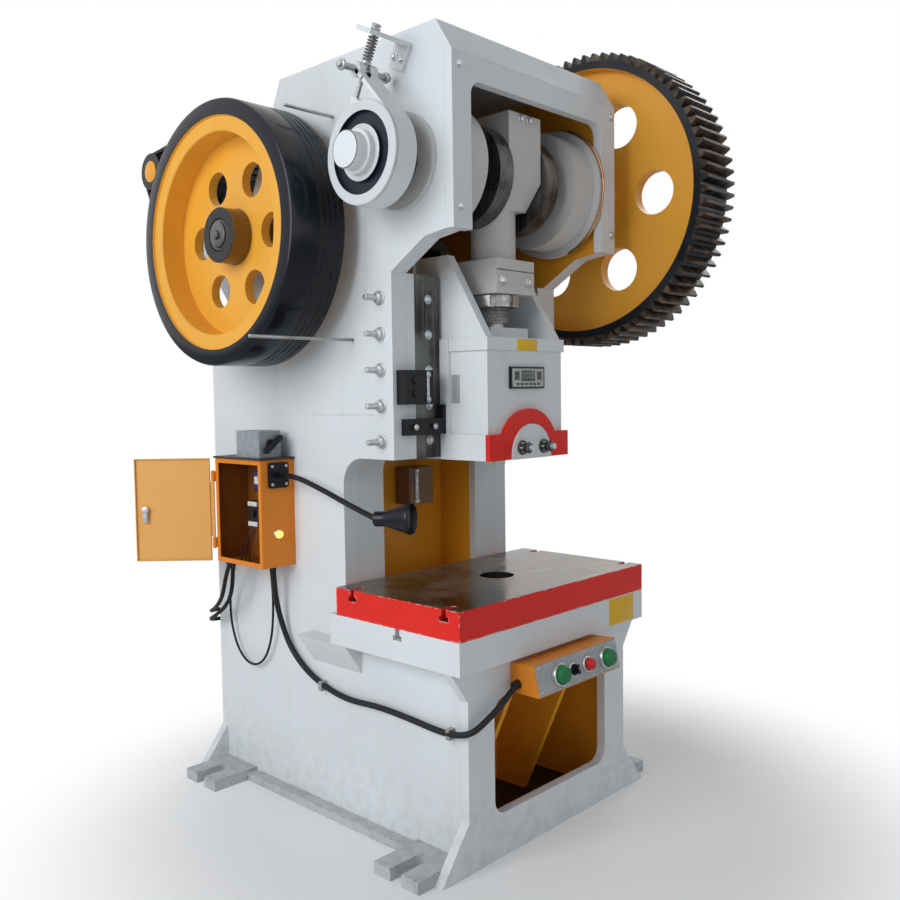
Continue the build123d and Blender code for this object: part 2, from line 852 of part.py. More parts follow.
# Flywheel: black rim with belt grooves at the back, a sunk web with six holes and a long hub
wheel_plane = Plane(origin=(0, drive_y, drive_z), x_dir=(1, 0, 0), z_dir=(0, -1, 0))
hub_front_x = flywheel_front_x - flywheel_hub_proud
web_front_x = flywheel_front_x + flywheel_web_inset
lip_front_x = flywheel_front_x + flywheel_lip_inset
ring_radius = flywheel_radius - flywheel_ring
lip_radius = ring_radius - flywheel_lip
groove_depth = belt_thick + side_gap
groove_width = belt_width + 2 * side_gap
belt_middles = [flywheel_rear_x - belt_inset - number * belt_pitch for number in range(belt_count)]
with BuildPart() as flywheel:
    with BuildSketch(wheel_plane):
        with BuildLine():
            Polyline(
                (hub_front_x, drive_shaft_radius + seat_gap),
                (hub_front_x, flywheel_hub_radius),
                (web_front_x, flywheel_hub_radius),
                (web_front_x, lip_radius),
                (lip_front_x, lip_radius),
                (lip_front_x, ring_radius),
                (flywheel_front_x, ring_radius),
                (flywheel_front_x, flywheel_radius),
                (flywheel_rear_x, flywheel_radius),
                (flywheel_rear_x, ring_radius),
                (web_front_x + flywheel_web, ring_radius),
                (web_front_x + flywheel_web, flywheel_hub_radius),
                (flywheel_rear_x, flywheel_hub_radius),
                (flywheel_rear_x, drive_shaft_radius + seat_gap),
                close=True,
            )
        make_face()
        for belt_x in belt_middles:
            with Locations((belt_x, flywheel_radius)):
                Rectangle(groove_width, 2 * groove_depth, mode=Mode.SUBTRACT)
    revolve(axis=Axis((0, drive_y, drive_z), (1, 0, 0)))
    with BuildSketch(Plane.YZ.offset(web_front_x - overrun)):
        with Locations((drive_y, drive_z)):
            with PolarLocations(flywheel_hole_circle, web_hole_count):
                Circle(flywheel_hole_radius)
    extrude(amount=flywheel_web + 2 * overrun, mode=Mode.SUBTRACT)

# Drive shaft across the frame, from the flywheel's hub to the pinion
pinion_end_x = gear_right_x + crank_end
with BuildPart() as drive_shaft:
    turned(((hub_front_x, pinion_end_x, drive_shaft_radius),), drive_y, drive_z)


def involute(angle):
    """How far an involute has unrolled at a pressure angle, in radians."""
    return tan(angle) - angle


def tooth_points(teeth, middle, phase, flank_shares):
    """A spur gear's outline, with flank points at shares of the way from root to tip."""
    pitch_radius = gear_module * teeth / 2
    pressure = radians(20)
    base_radius = pitch_radius * cos(pressure)
    root_radius = pitch_radius - 1.25 * gear_module
    tip_radius = pitch_radius + gear_module
    half_pitch_angle = (pi * gear_module / 2 - tooth_slack) / 2 / pitch_radius
    flank = []
    for share in flank_shares:
        radius = root_radius + share * (tip_radius - root_radius)
        local = acos(min(base_radius / radius, 1))
        flank.append((radius, half_pitch_angle + involute(pressure) - involute(local)))
    points = []
    for tooth in range(teeth):
        centre = phase + 2 * pi * tooth / teeth
        for radius, half in flank:
            points.append((middle[0] + radius * cos(centre - half), middle[1] + radius * sin(centre - half)))
        for radius, half in reversed(flank):
            points.append((middle[0] + radius * cos(centre + half), middle[1] + radius * sin(centre + half)))
    return points


# Spur gear on the crankshaft: straight teeth, sunk web with six holes, long hub
mesh_angle = atan2(drive_z - crank_z, drive_y)
gear_inner = gear_pitch_radius - 1.25 * gear_module - gear_rim
gear_web_x = (gear_left_x + gear_web_inset, gear_left_x + gear_web_inset + gear_web)
with BuildPart() as bull_gear:
    with BuildSketch(Plane.YZ.offset(gear_left_x)):
        with BuildLine():
            Polyline(*tooth_points(gear_teeth, (0, crank_z), mesh_angle, (0, 0.5, 1)), close=True)
        make_face()
    extrude(amount=gear_width)
    for start, end in ((gear_left_x, gear_web_x[0]), (gear_web_x[1], gear_right_x)):
        with BuildSketch(Plane.YZ.offset(start)):
            with Locations((0, crank_z)):
                Circle(gear_inner)
                Circle(gear_hub_radius, mode=Mode.SUBTRACT)
        extrude(amount=end - start, mode=Mode.SUBTRACT)
    with BuildSketch(Plane.YZ.offset(gear_hub_x[0])):
        with Locations((0, crank_z)):
            Circle(gear_hub_radius)
    extrude(amount=gear_hub_x[1] - gear_hub_x[0])
    with BuildSketch(Plane.YZ.offset(gear_web_x[0] - overrun)):
        with Locations((0, crank_z)):
            with PolarLocations(gear_hole_circle, web_hole_count):
                Circle(gear_hole_radius)
    extrude(amount=gear_web + 2 * overrun, mode=Mode.SUBTRACT)
    bore_x(gear_hub_x[0], gear_hub_x[1], 0, crank_z, gear_seat_radius + run_gap)

# Drive pinion on the shaft's right end, in mesh with the gear
with BuildPart() as drive_pinion:
    with BuildSketch(Plane.YZ.offset(gear_left_x)):
        with BuildLine():
            Polyline(*tooth_points(pinion_teeth, (drive_y, drive_z), mesh_angle + pi + pi / pinion_teeth,
                                   (0, 0.3, 0.62, 1)), close=True)
        make_face()
        with Locations((drive_y, drive_z)):
            Circle(drive_shaft_radius + seat_gap, mode=Mode.SUBTRACT)
    extrude(amount=gear_width)

# Motor pulley with its shaft: grooves in line with the flywheel's
pulley_x = (belt_middles[-1] - pulley_rim, belt_middles[0] + pulley_rim)
pulley_plane = Plane(origin=(0, motor_y, motor_z), x_dir=(1, 0, 0), z_dir=(0, -1, 0))
with BuildPart() as motor_pulley:
    with BuildSketch(pulley_plane):
        with Locations(((pulley_x[0] + pulley_x[1]) / 2, pulley_radius / 2)):
            Rectangle(pulley_x[1] - pulley_x[0], pulley_radius)
        for belt_x in belt_middles:
            with Locations((belt_x, pulley_radius)):
                Rectangle(groove_width, 2 * groove_depth, mode=Mode.SUBTRACT)
        shaft_end_x = motor_x + motor_bore_depth - side_gap
        with Locations(((pulley_x[1] + shaft_end_x) / 2, motor_shaft_radius / 2)):
            Rectangle(shaft_end_x - pulley_x[1], motor_shaft_radius)
    revolve(axis=Axis((0, motor_y, motor_z), (1, 0, 0)))

# Motor: a finned body with a fan cowl, feet on the shelf and a terminal box on top
with BuildPart() as motor_body:
    turned(
        (
            (motor_x, motor_x + motor_length, motor_radius),
            (motor_x + motor_length, motor_x + motor_length + motor_fan_length, motor_fan_radius),
        ), motor_y, motor_z)
    block((shelf_left, motor_x + motor_length),
          (motor_y - motor_foot_span / 2, motor_y + motor_foot_span / 2),
          (shelf_top, motor_z - motor_radius / 2))
    block((motor_x + motor_bore_depth, motor_x + motor_bore_depth + motor_box),
          (motor_y - motor_box / 2, motor_y + motor_box / 2), (motor_z, motor_z + motor_radius + motor_box_height))
    bore_x(motor_x, motor_x + motor_bore_depth, motor_y, motor_z, motor_shaft_radius + run_gap)

# Belts: four loops round the flywheel and the pulley
belt_dy = motor_y - drive_y
belt_dz = motor_z - drive_z
belt_span = sqrt(belt_dy**2 + belt_dz**2)


def belt_loop(wheel_radius, small_radius):
    """The open belt's outline round two wheels, as the face between its tangents."""
    lean = acos((wheel_radius - small_radius) / belt_span)
    line = atan2(belt_dz, belt_dy)
    corners = []
    for middle, radius in (((drive_y, drive_z), wheel_radius), ((motor_y, motor_z), small_radius)):
        for side in (1, -1):
            turn = line + side * lean
            corners.append((middle[0] + radius * cos(turn), middle[1] + radius * sin(turn)))
    with BuildSketch() as loop:
        with Locations((drive_y, drive_z)):
            Circle(wheel_radius)
        with Locations((motor_y, motor_z)):
            Circle(small_radius)
        with BuildLine():
            Polyline(corners[0], corners[2], corners[3], corners[1], close=True)
        make_face()
    return loop.sketch


with BuildPart() as drive_belts:
    for belt_x in belt_middles:
        with BuildSketch(Plane.YZ.offset(belt_x - belt_width / 2)):
            add(belt_loop(flywheel_radius, pulley_radius))
            add(belt_loop(flywheel_radius - belt_thick, pulley_radius - belt_thick), mode=Mode.SUBTRACT)
        extrude(amount=belt_width)

# Connecting rod: a flat-fronted head round the crank pin, a round neck and a square clamp block
with BuildPart() as connecting_rod:
    with BuildSketch(Plane.YZ.offset(-rod_width / 2)):
        with BuildLine():
            Polyline(
                (-rod_head_front, rod_head_bottom),
                (-rod_head_front, rod_head_top),
                (rod_head_front, rod_head_top),
                (rod_head_front, rod_head_bottom),
                (rod_neck_radius, rod_shoulder),
                (-rod_neck_radius, rod_shoulder),
                close=True,
            )
        make_face()
    extrude(amount=rod_width)
    with Locations((0, 0, (clamp_bottom + rod_shoulder) / 2)):
        Cylinder(rod_neck_radius, rod_shoulder - clamp_bottom)
    with Locations((0, 0, clamp_bottom + clamp_height / 2)):
        Box(clamp_width, clamp_width, clamp_height)
    bore_x(-rod_width / 2, rod_width / 2, 0, pin_z, crank_pin_radius + run_gap)
    with Locations((0, 0, clamp_bottom + screw_depth / 2)):
        Cylinder(screw_radius + seat_gap, screw_depth, mode=Mode.SUBTRACT)

# Adjusting screw: thread, slotted ring nut, neck and the ball in the ram
with BuildPart() as adjusting_screw:
    with Locations((0, 0, (screw_bottom + clamp_bottom + screw_depth) / 2)):
        Cylinder(screw_radius, clamp_bottom + screw_depth - screw_bottom)
    with Locations((0, 0, ring_nut_bottom + ring_nut_height / 2)):
        Cylinder(ring_nut_radius, ring_nut_height)
    with Locations((0, 0, (ball_z + screw_bottom) / 2)):
        Cylinder(neck_radius, screw_bottom - ball_z)
    with Locations((0, 0, ball_z)):
        Sphere(ball_radius)

# Ram: guided back, front block with a ledge, side wings, ball pocket and the clamp's arched recess
ram_half = ram_width / 2
guide_half = ram_guide_width / 2
pocket_half = ball_radius + side_gap + neck_room
pocket_rear_y = pocket_half + throw
with BuildPart() as ram:
    block((-ram_half, ram_half), (ram_front_y, ram_rear_y), (ram_bottom, ram_ledge))
    block((-guide_half, guide_half), (ram_guide_front_y, ram_rear_y), (ram_bottom, ram_top))
    block((-ram_half - ledge_proud, ram_half + ledge_proud), (ram_front_y - ledge_proud, ram_guide_front_y),
          (ram_ledge, ram_top))
    block((-guide_half, guide_half), (ram_front_y, ram_guide_front_y), (ram_bottom, ram_bottom + ram_foot_height))
    block((-guide_half, guide_half), (ram_rear_y - ram_back, ram_rear_y), (ram_top, wing_top))
    for wing_x in (-ram_half, ram_half - wing_thick):
        with BuildSketch(Plane.YZ.offset(wing_x)):
            with BuildLine():
                Polyline(
                    (wing_toe_y, ram_top),
                    (wing_top_y, wing_top),
                    (ram_rear_y, wing_top),
                    (ram_rear_y, ram_top),
                    close=True,
                )
            make_face()
        extrude(amount=wing_thick)
    block((-pocket_half, pocket_half), (-pocket_half, pocket_rear_y),
          (ball_z - ball_radius - ball_room, ram_top), Mode.SUBTRACT)
    with BuildSketch(Plane.XZ.offset(shank_split)):
        with Locations((0, arch_z)):
            Circle(arch_inner)
        with Locations((0, (ram_bottom - overrun + arch_z) / 2)):
            Rectangle(2 * arch_inner, arch_z - ram_bottom + overrun)
        with Locations((0, ram_bottom - arch_inner / 2)):
            Rectangle(2 * arch_inner, arch_inner, mode=Mode.SUBTRACT)
    extrude(amount=-ram_front_y, mode=Mode.SUBTRACT)
    with Locations((0, 0, ram_bottom + shank_depth / 2)):
        Cylinder(shank_radius, shank_depth, mode=Mode.SUBTRACT)

# Ball cap: holds the ball down, slotted to the rear for the rod's sideways run
with BuildPart() as ball_cap:
    block((-cap_width / 2, cap_width / 2), (cap_front_y, pocket_rear_y + neck_room), (ram_top, ram_top + cap_thick))
    neck_half = neck_radius + neck_room
    with Locations((0, 0, ram_top + cap_thick / 2)):
        Cylinder(neck_half, cap_thick, mode=Mode.SUBTRACT)
    block((-neck_half, neck_half), (0, pocket_rear_y + neck_room), (ram_top, ram_top + cap_thick), Mode.SUBTRACT)

# Die clamp cap: the red arched plate across the ram's foot
with BuildPart() as die_clamp_cap:
    with BuildSketch(Plane.XZ.offset(-ram_front_y)):
        with Locations((0, ram_bottom + ram_foot_height / 2)):
            Rectangle(ram_guide_width, ram_foot_height)
        with Locations((0, arch_z)):
            Circle(arch_outer)
        with Locations((0, ram_bottom - arch_outer / 2)):
            Rectangle(2 * arch_outer, arch_outer, mode=Mode.SUBTRACT)
        with Locations((0, arch_z)):
            Circle(arch_inner, mode=Mode.SUBTRACT)
        with Locations((0, (ram_bottom + arch_z) / 2)):
            Rectangle(2 * arch_inner, arch_z - ram_bottom, mode=Mode.SUBTRACT)
    extrude(amount=arch_plate)

# Shank clamp: the half-round block in the arch that grips the die's shank, with two studs and nuts
clamp_front_y = ram_front_y - arch_plate - clamp_proud
with BuildPart() as shank_clamp:
    with BuildSketch(Plane.XZ.offset(shank_split)):
        with Locations((0, arch_z)):
            Circle(arch_inner - side_gap)
        with Locations((0, (ram_bottom + arch_z) / 2)):
            Rectangle(2 * (arch_inner - side_gap), arch_z - ram_bottom)
        with Locations((0, ram_bottom - arch_inner / 2)):
            Rectangle(2 * arch_inner, arch_inner, mode=Mode.SUBTRACT)
    extrude(amount=-clamp_front_y - shank_split)
    with Locations((0, 0, ram_bottom + shank_depth / 2)):
        Cylinder(shank_radius, shank_depth, mode=Mode.SUBTRACT)
    for stud_x in (-clamp_stud_x, clamp_stud_x):
        with BuildSketch(Plane.XZ.offset(-clamp_front_y)):
            with Locations((stud_x, clamp_stud_z)):
                Circle(clamp_stud_radius)
        extrude(amount=clamp_stud)
        with BuildSketch(Plane.XZ.offset(-clamp_front_y)):
            with Locations((stud_x, clamp_stud_z)):
                RegularPolygon(clamp_nut_radius, 6)
        extrude(amount=clamp_nut)

# Counter display on the ram's front
with BuildPart() as counter_display:
    block((-display_width / 2, display_width / 2), (ram_front_y - display_thick, ram_front_y),
          (display_z - display_height / 2, display_z + display_height / 2))

# Limit switch on the left guide and the trip bar below it
with BuildPart() as limit_switch_set:
    block((switch_x - switch_width / 2, switch_x + switch_width / 2), (guide_face_y - switch_depth, guide_face_y),
          (switch_z - switch_height / 2, switch_z + switch_height / 2))
    block((trip_left_x, -gib_half - side_gap), (guide_face_y - trip_depth, guide_face_y),
          (trip_z - trip_height / 2, trip_z + trip_height / 2))
    block((-gib_half - side_gap - trip_prong, -gib_half - side_gap), (guide_face_y - trip_depth, guide_face_y),
          (trip_z - trip_height / 2, trip_z + trip_prong_height))

# Cabinet: a sheet box on the left plate, open towards the operator's left, with hinge knuckles at its rear edge
hinge_x = cabinet_face_x - hinge_offset
hinge_y = cabinet_rear_y + hinge_offset
knuckle_spread = knuckle_share * cabinet_height
knuckle_heights = (cabinet_mid_z - knuckle_spread, cabinet_mid_z + knuckle_spread)
with BuildPart() as cabinet_box:
    block((cabinet_face_x, -frame_half), (cabinet_front_y, cabinet_rear_y), (cabinet_bottom, cabinet_top))
    block((cabinet_face_x + sheet, -frame_half - sheet), (cabinet_front_y + sheet, cabinet_rear_y - sheet),
          (cabinet_bottom + sheet, cabinet_top - sheet), Mode.SUBTRACT)
    block((cabinet_face_x, cabinet_face_x + sheet), (cabinet_front_y + cabinet_rim, cabinet_rear_y - cabinet_rim),
          (cabinet_bottom + cabinet_rim, cabinet_top - cabinet_rim), Mode.SUBTRACT)
    for knuckle_z in knuckle_heights:
        block((hinge_x, cabinet_face_x + cabinet_rim), (cabinet_rear_y, cabinet_rear_y + sheet),
              (knuckle_z - knuckle_length / 2, knuckle_z + knuckle_length / 2))
        with Locations((hinge_x, hinge_y, knuckle_z)):
            Cylinder(knuckle_radius, knuckle_length)
            Cylinder(hinge_pin_radius + run_gap, knuckle_length, mode=Mode.SUBTRACT)

# Cabinet door, standing open: a flanged sheet on a hinge pin, with its latch near the free edge
door_turn = radians(door_open)
door_along = (-sin(door_turn), -cos(door_turn), 0)
door_out = (-cos(door_turn), sin(door_turn), 0)
door_plane = Plane(origin=(hinge_x, hinge_y, cabinet_mid_z), x_dir=door_along, z_dir=door_out)
door_end = cabinet_width + hinge_offset
door_inner = hinge_offset - door_gap
door_height = cabinet_height - 2 * door_gap
with BuildPart() as cabinet_door:
    door_mid = (door_start + door_end) / 2
    with BuildSketch(door_plane.offset(-door_inner)):
        with Locations((door_mid, 0)):
            Rectangle(door_end - door_start, door_height)
    extrude(amount=door_flange)
    with BuildSketch(door_plane.offset(-door_inner)):
        with Locations((door_mid, 0)):
            Rectangle(door_end - door_start - 2 * door_skin, door_height - 2 * door_skin)
    extrude(amount=door_flange - door_skin, mode=Mode.SUBTRACT)
    with Locations((hinge_x, hinge_y, cabinet_mid_z)):
        Cylinder(hinge_pin_radius, 2 * knuckle_spread + knuckle_length + 2 * door_skin)
    with BuildSketch(door_plane.offset(-door_skin / 2)):
        with Locations((door_start / 2 + door_skin / 2, 0)):
            Rectangle(door_start + door_skin, 2 * knuckle_spread - knuckle_length - 2 * door_skin)
    extrude(amount=door_skin)
    with BuildSketch(door_plane.offset(door_flange - door_inner - door_skin - latch_proud)):
        with Locations((door_end - latch_inset, 0)):
            Circle(latch_radius)
    extrude(amount=latch_proud)
    with BuildSketch(door_plane.offset(door_flange - door_inner - door_skin - latch_proud)):
        with Locations((door_end - latch_inset, -latch_cam / 2)):
            Rectangle(latch_cam_width, latch_cam)
    extrude(amount=door_skin)
    with BuildSketch(door_plane.offset(door_flange - door_inner)):
        with Locations((door_end - latch_inset, 0)):
            Circle(latch_radius)
    extrude(amount=latch_proud)

# Isolator switch on the cabinet's lid
isolator_bottom = cabinet_top + lid_thick
with BuildPart() as isolator_box:
    block((cabinet_face_x - lid_proud, -frame_half), (cabinet_front_y - lid_proud, cabinet_rear_y),
          (cabinet_top, isolator_bottom))
    with BuildSketch(Plane.XY.offset(isolator_bottom)):
        with Locations((isolator_x, isolator_front_y + isolator_depth / 2)):
            RectangleRounded(isolator_width, isolator_depth, isolator_corner)
    extrude(amount=isolator_height)
    lever_z = isolator_bottom + isolator_height / 2
    with BuildSketch(Plane.XZ.offset(-isolator_front_y - lever_pin)):
        with Locations((isolator_x, lever_z)):
            Circle(lever_pin_radius + run_gap)
    extrude(amount=lever_pin, mode=Mode.SUBTRACT)

# Isolator lever: a hub on a pin with a flat handle across it
with BuildPart() as isolator_lever:
    with BuildSketch(Plane.XZ.offset(-isolator_front_y - lever_pin + side_gap)):
        with Locations((isolator_x, lever_z)):
            Circle(lever_pin_radius)
    extrude(amount=lever_pin)
    with BuildSketch(Plane.XZ.offset(-isolator_front_y + side_gap)):
        with Locations((isolator_x, lever_z)):
            Circle(lever_hub_radius)
    extrude(amount=lever_hub)
    with BuildSketch(Plane.XZ.offset(-isolator_front_y + side_gap + lever_hub)):
        with Locations((isolator_x, lever_z)):
            SlotOverall(lever_length, lever_width, rotation=lever_angle)
    extrude(amount=lever_thick)

# Contactor and relay on the cabinet's back wall
cabinet_back_x = -frame_half - sheet
with BuildPart() as control_devices:
    block((cabinet_back_x - contactor_depth, cabinet_back_x),
          (contactor_y - contactor_width / 2, contactor_y + contactor_width / 2),
          (contactor_z - contactor_height / 2, contactor_z + contactor_height / 2))
    block((cabinet_back_x - relay_depth, cabinet_back_x),
          (relay_y - relay_width / 2, relay_y + relay_width / 2),
          (relay_z - relay_height / 2, relay_z + relay_height / 2))

# Lamp: a screwed flange on the cabinet's front, a bendable neck and a cone-shaped head
flange_y = cabinet_front_y - lamp_flange_thick
with BuildPart() as lamp_flange:
    with BuildSketch(Plane.XZ.offset(-cabinet_front_y)):
        with Locations((lamp_x, lamp_z)):
            RectangleRounded(lamp_flange_width, lamp_flange_height, lamp_flange_thick)
    extrude(amount=lamp_flange_thick)


def tube(route, radius):
    """A round cable along straight runs joined by arcs as large as the runs allow."""
    points = [Vector(*point) for point in route]
    radii = []
    for before, here, after in zip(points, points[1:], points[2:]):
        turn = (here - before).get_angle(after - here)
        shorter = min((here - before).length, (after - here).length)
        radii.append(bend_share * shorter / tan(radians(turn) / 2))
    print("bend radii", [round(value) for value in radii])
    start = Plane(origin=points[0], z_dir=points[1] - points[0])
    with BuildPart() as cable:
        with BuildLine() as path:
            FilletPolyline(*points, radius=radii)
        with BuildSketch(start):
            Circle(radius)
        sweep(path=path.wires()[0])
    print("volume share", round(cable.part.volume / (pi * radius**2 * path.wires()[0].length), 4))
    return cable


lamp_neck = tube(lamp_route, lamp_neck_radius)

lamp_end = Vector(*lamp_route[-1])
lamp_plane = Plane(origin=lamp_end, z_dir=lamp_aim)
with BuildPart() as lamp_head:
    with BuildSketch(lamp_plane):
        Circle(lamp_cap_radius)
    extrude(amount=lamp_cap)
    with BuildSketch(lamp_plane.offset(lamp_cap)):
        Circle(lamp_cap_radius)
    with BuildSketch(lamp_plane.offset(lamp_cap + lamp_cone)):
        Circle(lamp_cone_radius)
    loft()
    with BuildSketch(lamp_plane.offset(lamp_cap + lamp_cone)):
        Circle(lamp_cone_radius - lamp_lens)
    extrude(amount=lamp_lens)

# Pilot lamp on the cabinet's front
with BuildPart() as pilot_lamp:
    with BuildSketch(Plane.XZ.offset(-cabinet_front_y)):
        with Locations((pilot_x, pilot_z)):
            Circle(pilot_radius)
    extrude(amount=pilot_proud)

# Two-hand control box on the pedestal, with a panel that leans back
box_half = box_width / 2
panel_top = (pedestal_front_y - box_roof, box_top + box_roof_rise)
panel_foot = (pedestal_front_y - box_floor, box_bottom)
panel_run = panel_top[0] - panel_foot[0]
panel_rise = panel_top[1] - panel_foot[1]
panel_slope = sqrt(panel_run**2 + panel_rise**2)
panel_plane = Plane(
    origin=(0, (panel_top[0] + panel_foot[0]) / 2, (panel_top[1] + panel_foot[1]) / 2),
    x_dir=(1, 0, 0),
    z_dir=(0, -panel_rise, panel_run),
)
button_places = (
    (green_left_x, stem_radius),
    (green_right_x, stem_radius),
    (stop_x, stem_radius),
    (selector_x, stem_radius),
)
with BuildPart() as control_box:
    with BuildSketch(Plane.YZ.offset(-box_half)):
        with BuildLine():
            Polyline((pedestal_front_y, box_bottom), (pedestal_front_y, box_top), panel_top, panel_foot, close=True)
        make_face()
    extrude(amount=box_width)
    for place, radius in button_places:
        with BuildSketch(panel_plane):
            with Locations((place, 0)):
                Circle(radius + run_gap)
        extrude(amount=-stem_depth, mode=Mode.SUBTRACT)

with BuildPart() as control_panel:
    with BuildSketch(panel_plane):
        RectangleRounded(box_width - 2 * panel_inset, panel_slope - 2 * panel_inset, panel_inset)
        for place, radius in button_places:
            with Locations((place, 0)):
                Circle(radius + run_gap, mode=Mode.SUBTRACT)
    extrude(amount=panel_thick)


def push_button(place, radius, height, gap):
    """A mushroom button on a stem that runs in the panel."""
    with BuildPart() as button:
        with BuildSketch(panel_plane.offset(panel_thick + gap)):
            with Locations((place, 0)):
                Circle(radius)
        extrude(amount=height)
        fillet(button.edges().filter_by(GeomType.CIRCLE).sort_by_distance(
            panel_plane.offset(panel_thick + gap + height).origin + Vector(place, 0, 0))[0], height / 2)
        with BuildSketch(panel_plane.offset(panel_thick + gap)):
            with Locations((place, 0)):
                Circle(stem_radius)
        extrude(amount=-(stem_depth - side_gap))
    return button


left_start_button = push_button(green_left_x, green_radius, green_height, green_gap)
right_start_button = push_button(green_right_x, green_radius, green_height, green_gap)
stop_button = push_button(stop_x, stop_radius, stop_height, stop_gap)

with BuildPart() as selector_knob:
    with BuildSketch(panel_plane.offset(panel_thick + side_gap)):
        with Locations((selector_x, 0)):
            Circle(selector_radius)
    extrude(amount=selector_height)
    with BuildSketch(panel_plane.offset(panel_thick + side_gap + selector_height)):
        with Locations((selector_x, 0)):
            SlotOverall(selector_grip_length, selector_grip, rotation=90)
    extrude(amount=selector_grip_height)
    with BuildSketch(panel_plane.offset(panel_thick + side_gap)):
        with Locations((selector_x, 0)):
            Circle(stem_radius)
    extrude(amount=-(stem_depth - side_gap))

# Lubricator on the column web: a small tank with a sight tube on its front corner
with BuildPart() as lubricator:
    oiler_y = web_front_y - oiler_depth
    with BuildSketch(Plane.XY.offset(oiler_z - oiler_height / 2)):
        with Locations((oiler_x, web_front_y - oiler_depth / 2)):
            RectangleRounded(oiler_width, oiler_depth, oiler_corner)
    extrude(amount=oiler_height)
    with Locations((oiler_x - oiler_width / 4, oiler_y, oiler_z)):
        Cylinder(oiler_tube_radius, oiler_height - oiler_tube_proud)

# Oil pipe bent round the right crank bearing
with BuildPart() as oil_pipes:
    with BuildLine(Plane.YZ.offset(boss_root_x - boss_flange / 2)) as pipe_path:
        CenterArc((0, crank_z), boss_flange_radius + pipe_radius, pipe_start, pipe_sweep)
    with BuildSketch(Plane(origin=pipe_path.line @ 0, z_dir=pipe_path.line % 0)):
        Circle(pipe_radius)
    sweep(path=pipe_path.wires()[0])

# Control cable: from the cabinet's floor along the left wall and round to the control box
control_cable = tube(control_cable_route, cable_radius)

# Cable clips that hold the control cable on the wall
with BuildPart() as cable_clips:
    for clip_y, clip_z in clip_places:
        block((-frame_half - clip_depth, -frame_half), (clip_y - clip_width / 2, clip_y + clip_width / 2),
              (clip_z - clip_height / 2, clip_z + clip_height / 2))

# Cables to the rear plate and the slack loop under the cabinet
upper_cable = tube(upper_cable_route, thin_cable_radius)
lower_cable = tube(lower_cable_route, thin_cable_radius)
slack_loop = tube(loop_route, loop_cable_radius)
with BuildPart() as cabinet_cables:
    add(upper_cable.part)
    add(lower_cable.part)
    add(slack_loop.part)

pieces = {
    "left_side_plate": left_side_plate,
    "right_side_plate": right_side_plate,
    "pedestal_front_plate": pedestal_front_plate,
    "rear_plate": rear_plate,
    "rear_slope_plate": rear_slope_plate,
    "bed_block": bed_block,
    "bolster_table": bolster_table,
    "leg_boxes": leg_boxes,
    "column_web": column_web,
    "head_front_plate": head_front_plate,
    "top_plate": top_plate,
    "pedestal_gussets": pedestal_gussets,
    "floor_skids": floor_skids,
    "side_lugs": side_lugs,
    "crank_bearings": crank_bearings,
    "drive_bearings": drive_bearings,
    "guide_cheeks": guide_cheeks,
    "gib_strips": gib_strips,
    "gib_bolts": gib_bolts,
    "crankshaft": crankshaft,
    "brake_drum": brake_drum,
    "brake_band": brake_band,
    "brake_spring_rod": brake_spring_rod,
    "brake_bracket": brake_bracket,
    "guard_rods": guard_rods,
    "flywheel": flywheel,
    "drive_shaft": drive_shaft,
    "bull_gear": bull_gear,
    "drive_pinion": drive_pinion,
    "motor_pulley": motor_pulley,
    "motor_body": motor_body,
    "drive_belts": drive_belts,
    "connecting_rod": connecting_rod,
    "adjusting_screw": adjusting_screw,
    "ram": ram,
    "ball_cap": ball_cap,
    "die_clamp_cap": die_clamp_cap,
    "shank_clamp": shank_clamp,
    "counter_display": counter_display,
    "limit_switch_set": limit_switch_set,
    "cabinet_box": cabinet_box,
    "cabinet_door": cabinet_door,
    "isolator_box": isolator_box,
    "isolator_lever": isolator_lever,
    "control_devices": control_devices,
    "lamp_flange": lamp_flange,
    "lamp_neck": lamp_neck,
    "lamp_head": lamp_head,
    "pilot_lamp": pilot_lamp,
    "control_box": control_box,
    "control_panel": control_panel,
    "left_start_button": left_start_button,
    "right_start_button": right_start_button,
    "stop_button": stop_button,
    "selector_knob": selector_knob,
    "lubricator": lubricator,
    "oil_pipes": oil_pipes,
    "control_cable": control_cable,
    "cable_clips": cable_clips,
    "cabinet_cables": cabinet_cables,
}

os.makedirs("parts", exist_ok=True)
for name, piece in pieces.items():
    piece.part.label = name
    export_step(piece.part, f"parts/{name}.step")
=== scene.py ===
from math import cos, pi, radians, sin

import bmesh
import bpy
from mathutils import Matrix, Vector


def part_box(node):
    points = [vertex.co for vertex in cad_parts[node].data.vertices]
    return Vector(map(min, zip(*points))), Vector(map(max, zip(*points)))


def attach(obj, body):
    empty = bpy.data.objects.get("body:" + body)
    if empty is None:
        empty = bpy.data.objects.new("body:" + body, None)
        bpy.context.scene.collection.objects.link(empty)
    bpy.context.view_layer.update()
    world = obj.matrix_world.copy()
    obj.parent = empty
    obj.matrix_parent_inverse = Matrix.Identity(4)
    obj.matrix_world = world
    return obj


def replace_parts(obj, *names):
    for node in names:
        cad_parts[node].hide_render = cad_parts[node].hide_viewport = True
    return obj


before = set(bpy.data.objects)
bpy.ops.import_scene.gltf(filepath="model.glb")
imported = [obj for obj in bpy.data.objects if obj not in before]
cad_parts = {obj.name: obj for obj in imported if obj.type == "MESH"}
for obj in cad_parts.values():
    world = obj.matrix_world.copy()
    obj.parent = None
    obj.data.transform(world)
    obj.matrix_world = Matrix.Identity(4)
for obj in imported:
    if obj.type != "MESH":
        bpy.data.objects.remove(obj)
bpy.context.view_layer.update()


# The camera stands at an operator's eye height, off the press's left front corner,
# and looks a little down, with the slight tilt of a picture taken by hand.
def in_scene(name, data):
    """An object in the scene that shows some data."""
    made = bpy.data.objects.new(name, data)
    bpy.context.scene.collection.objects.link(made)
    return made


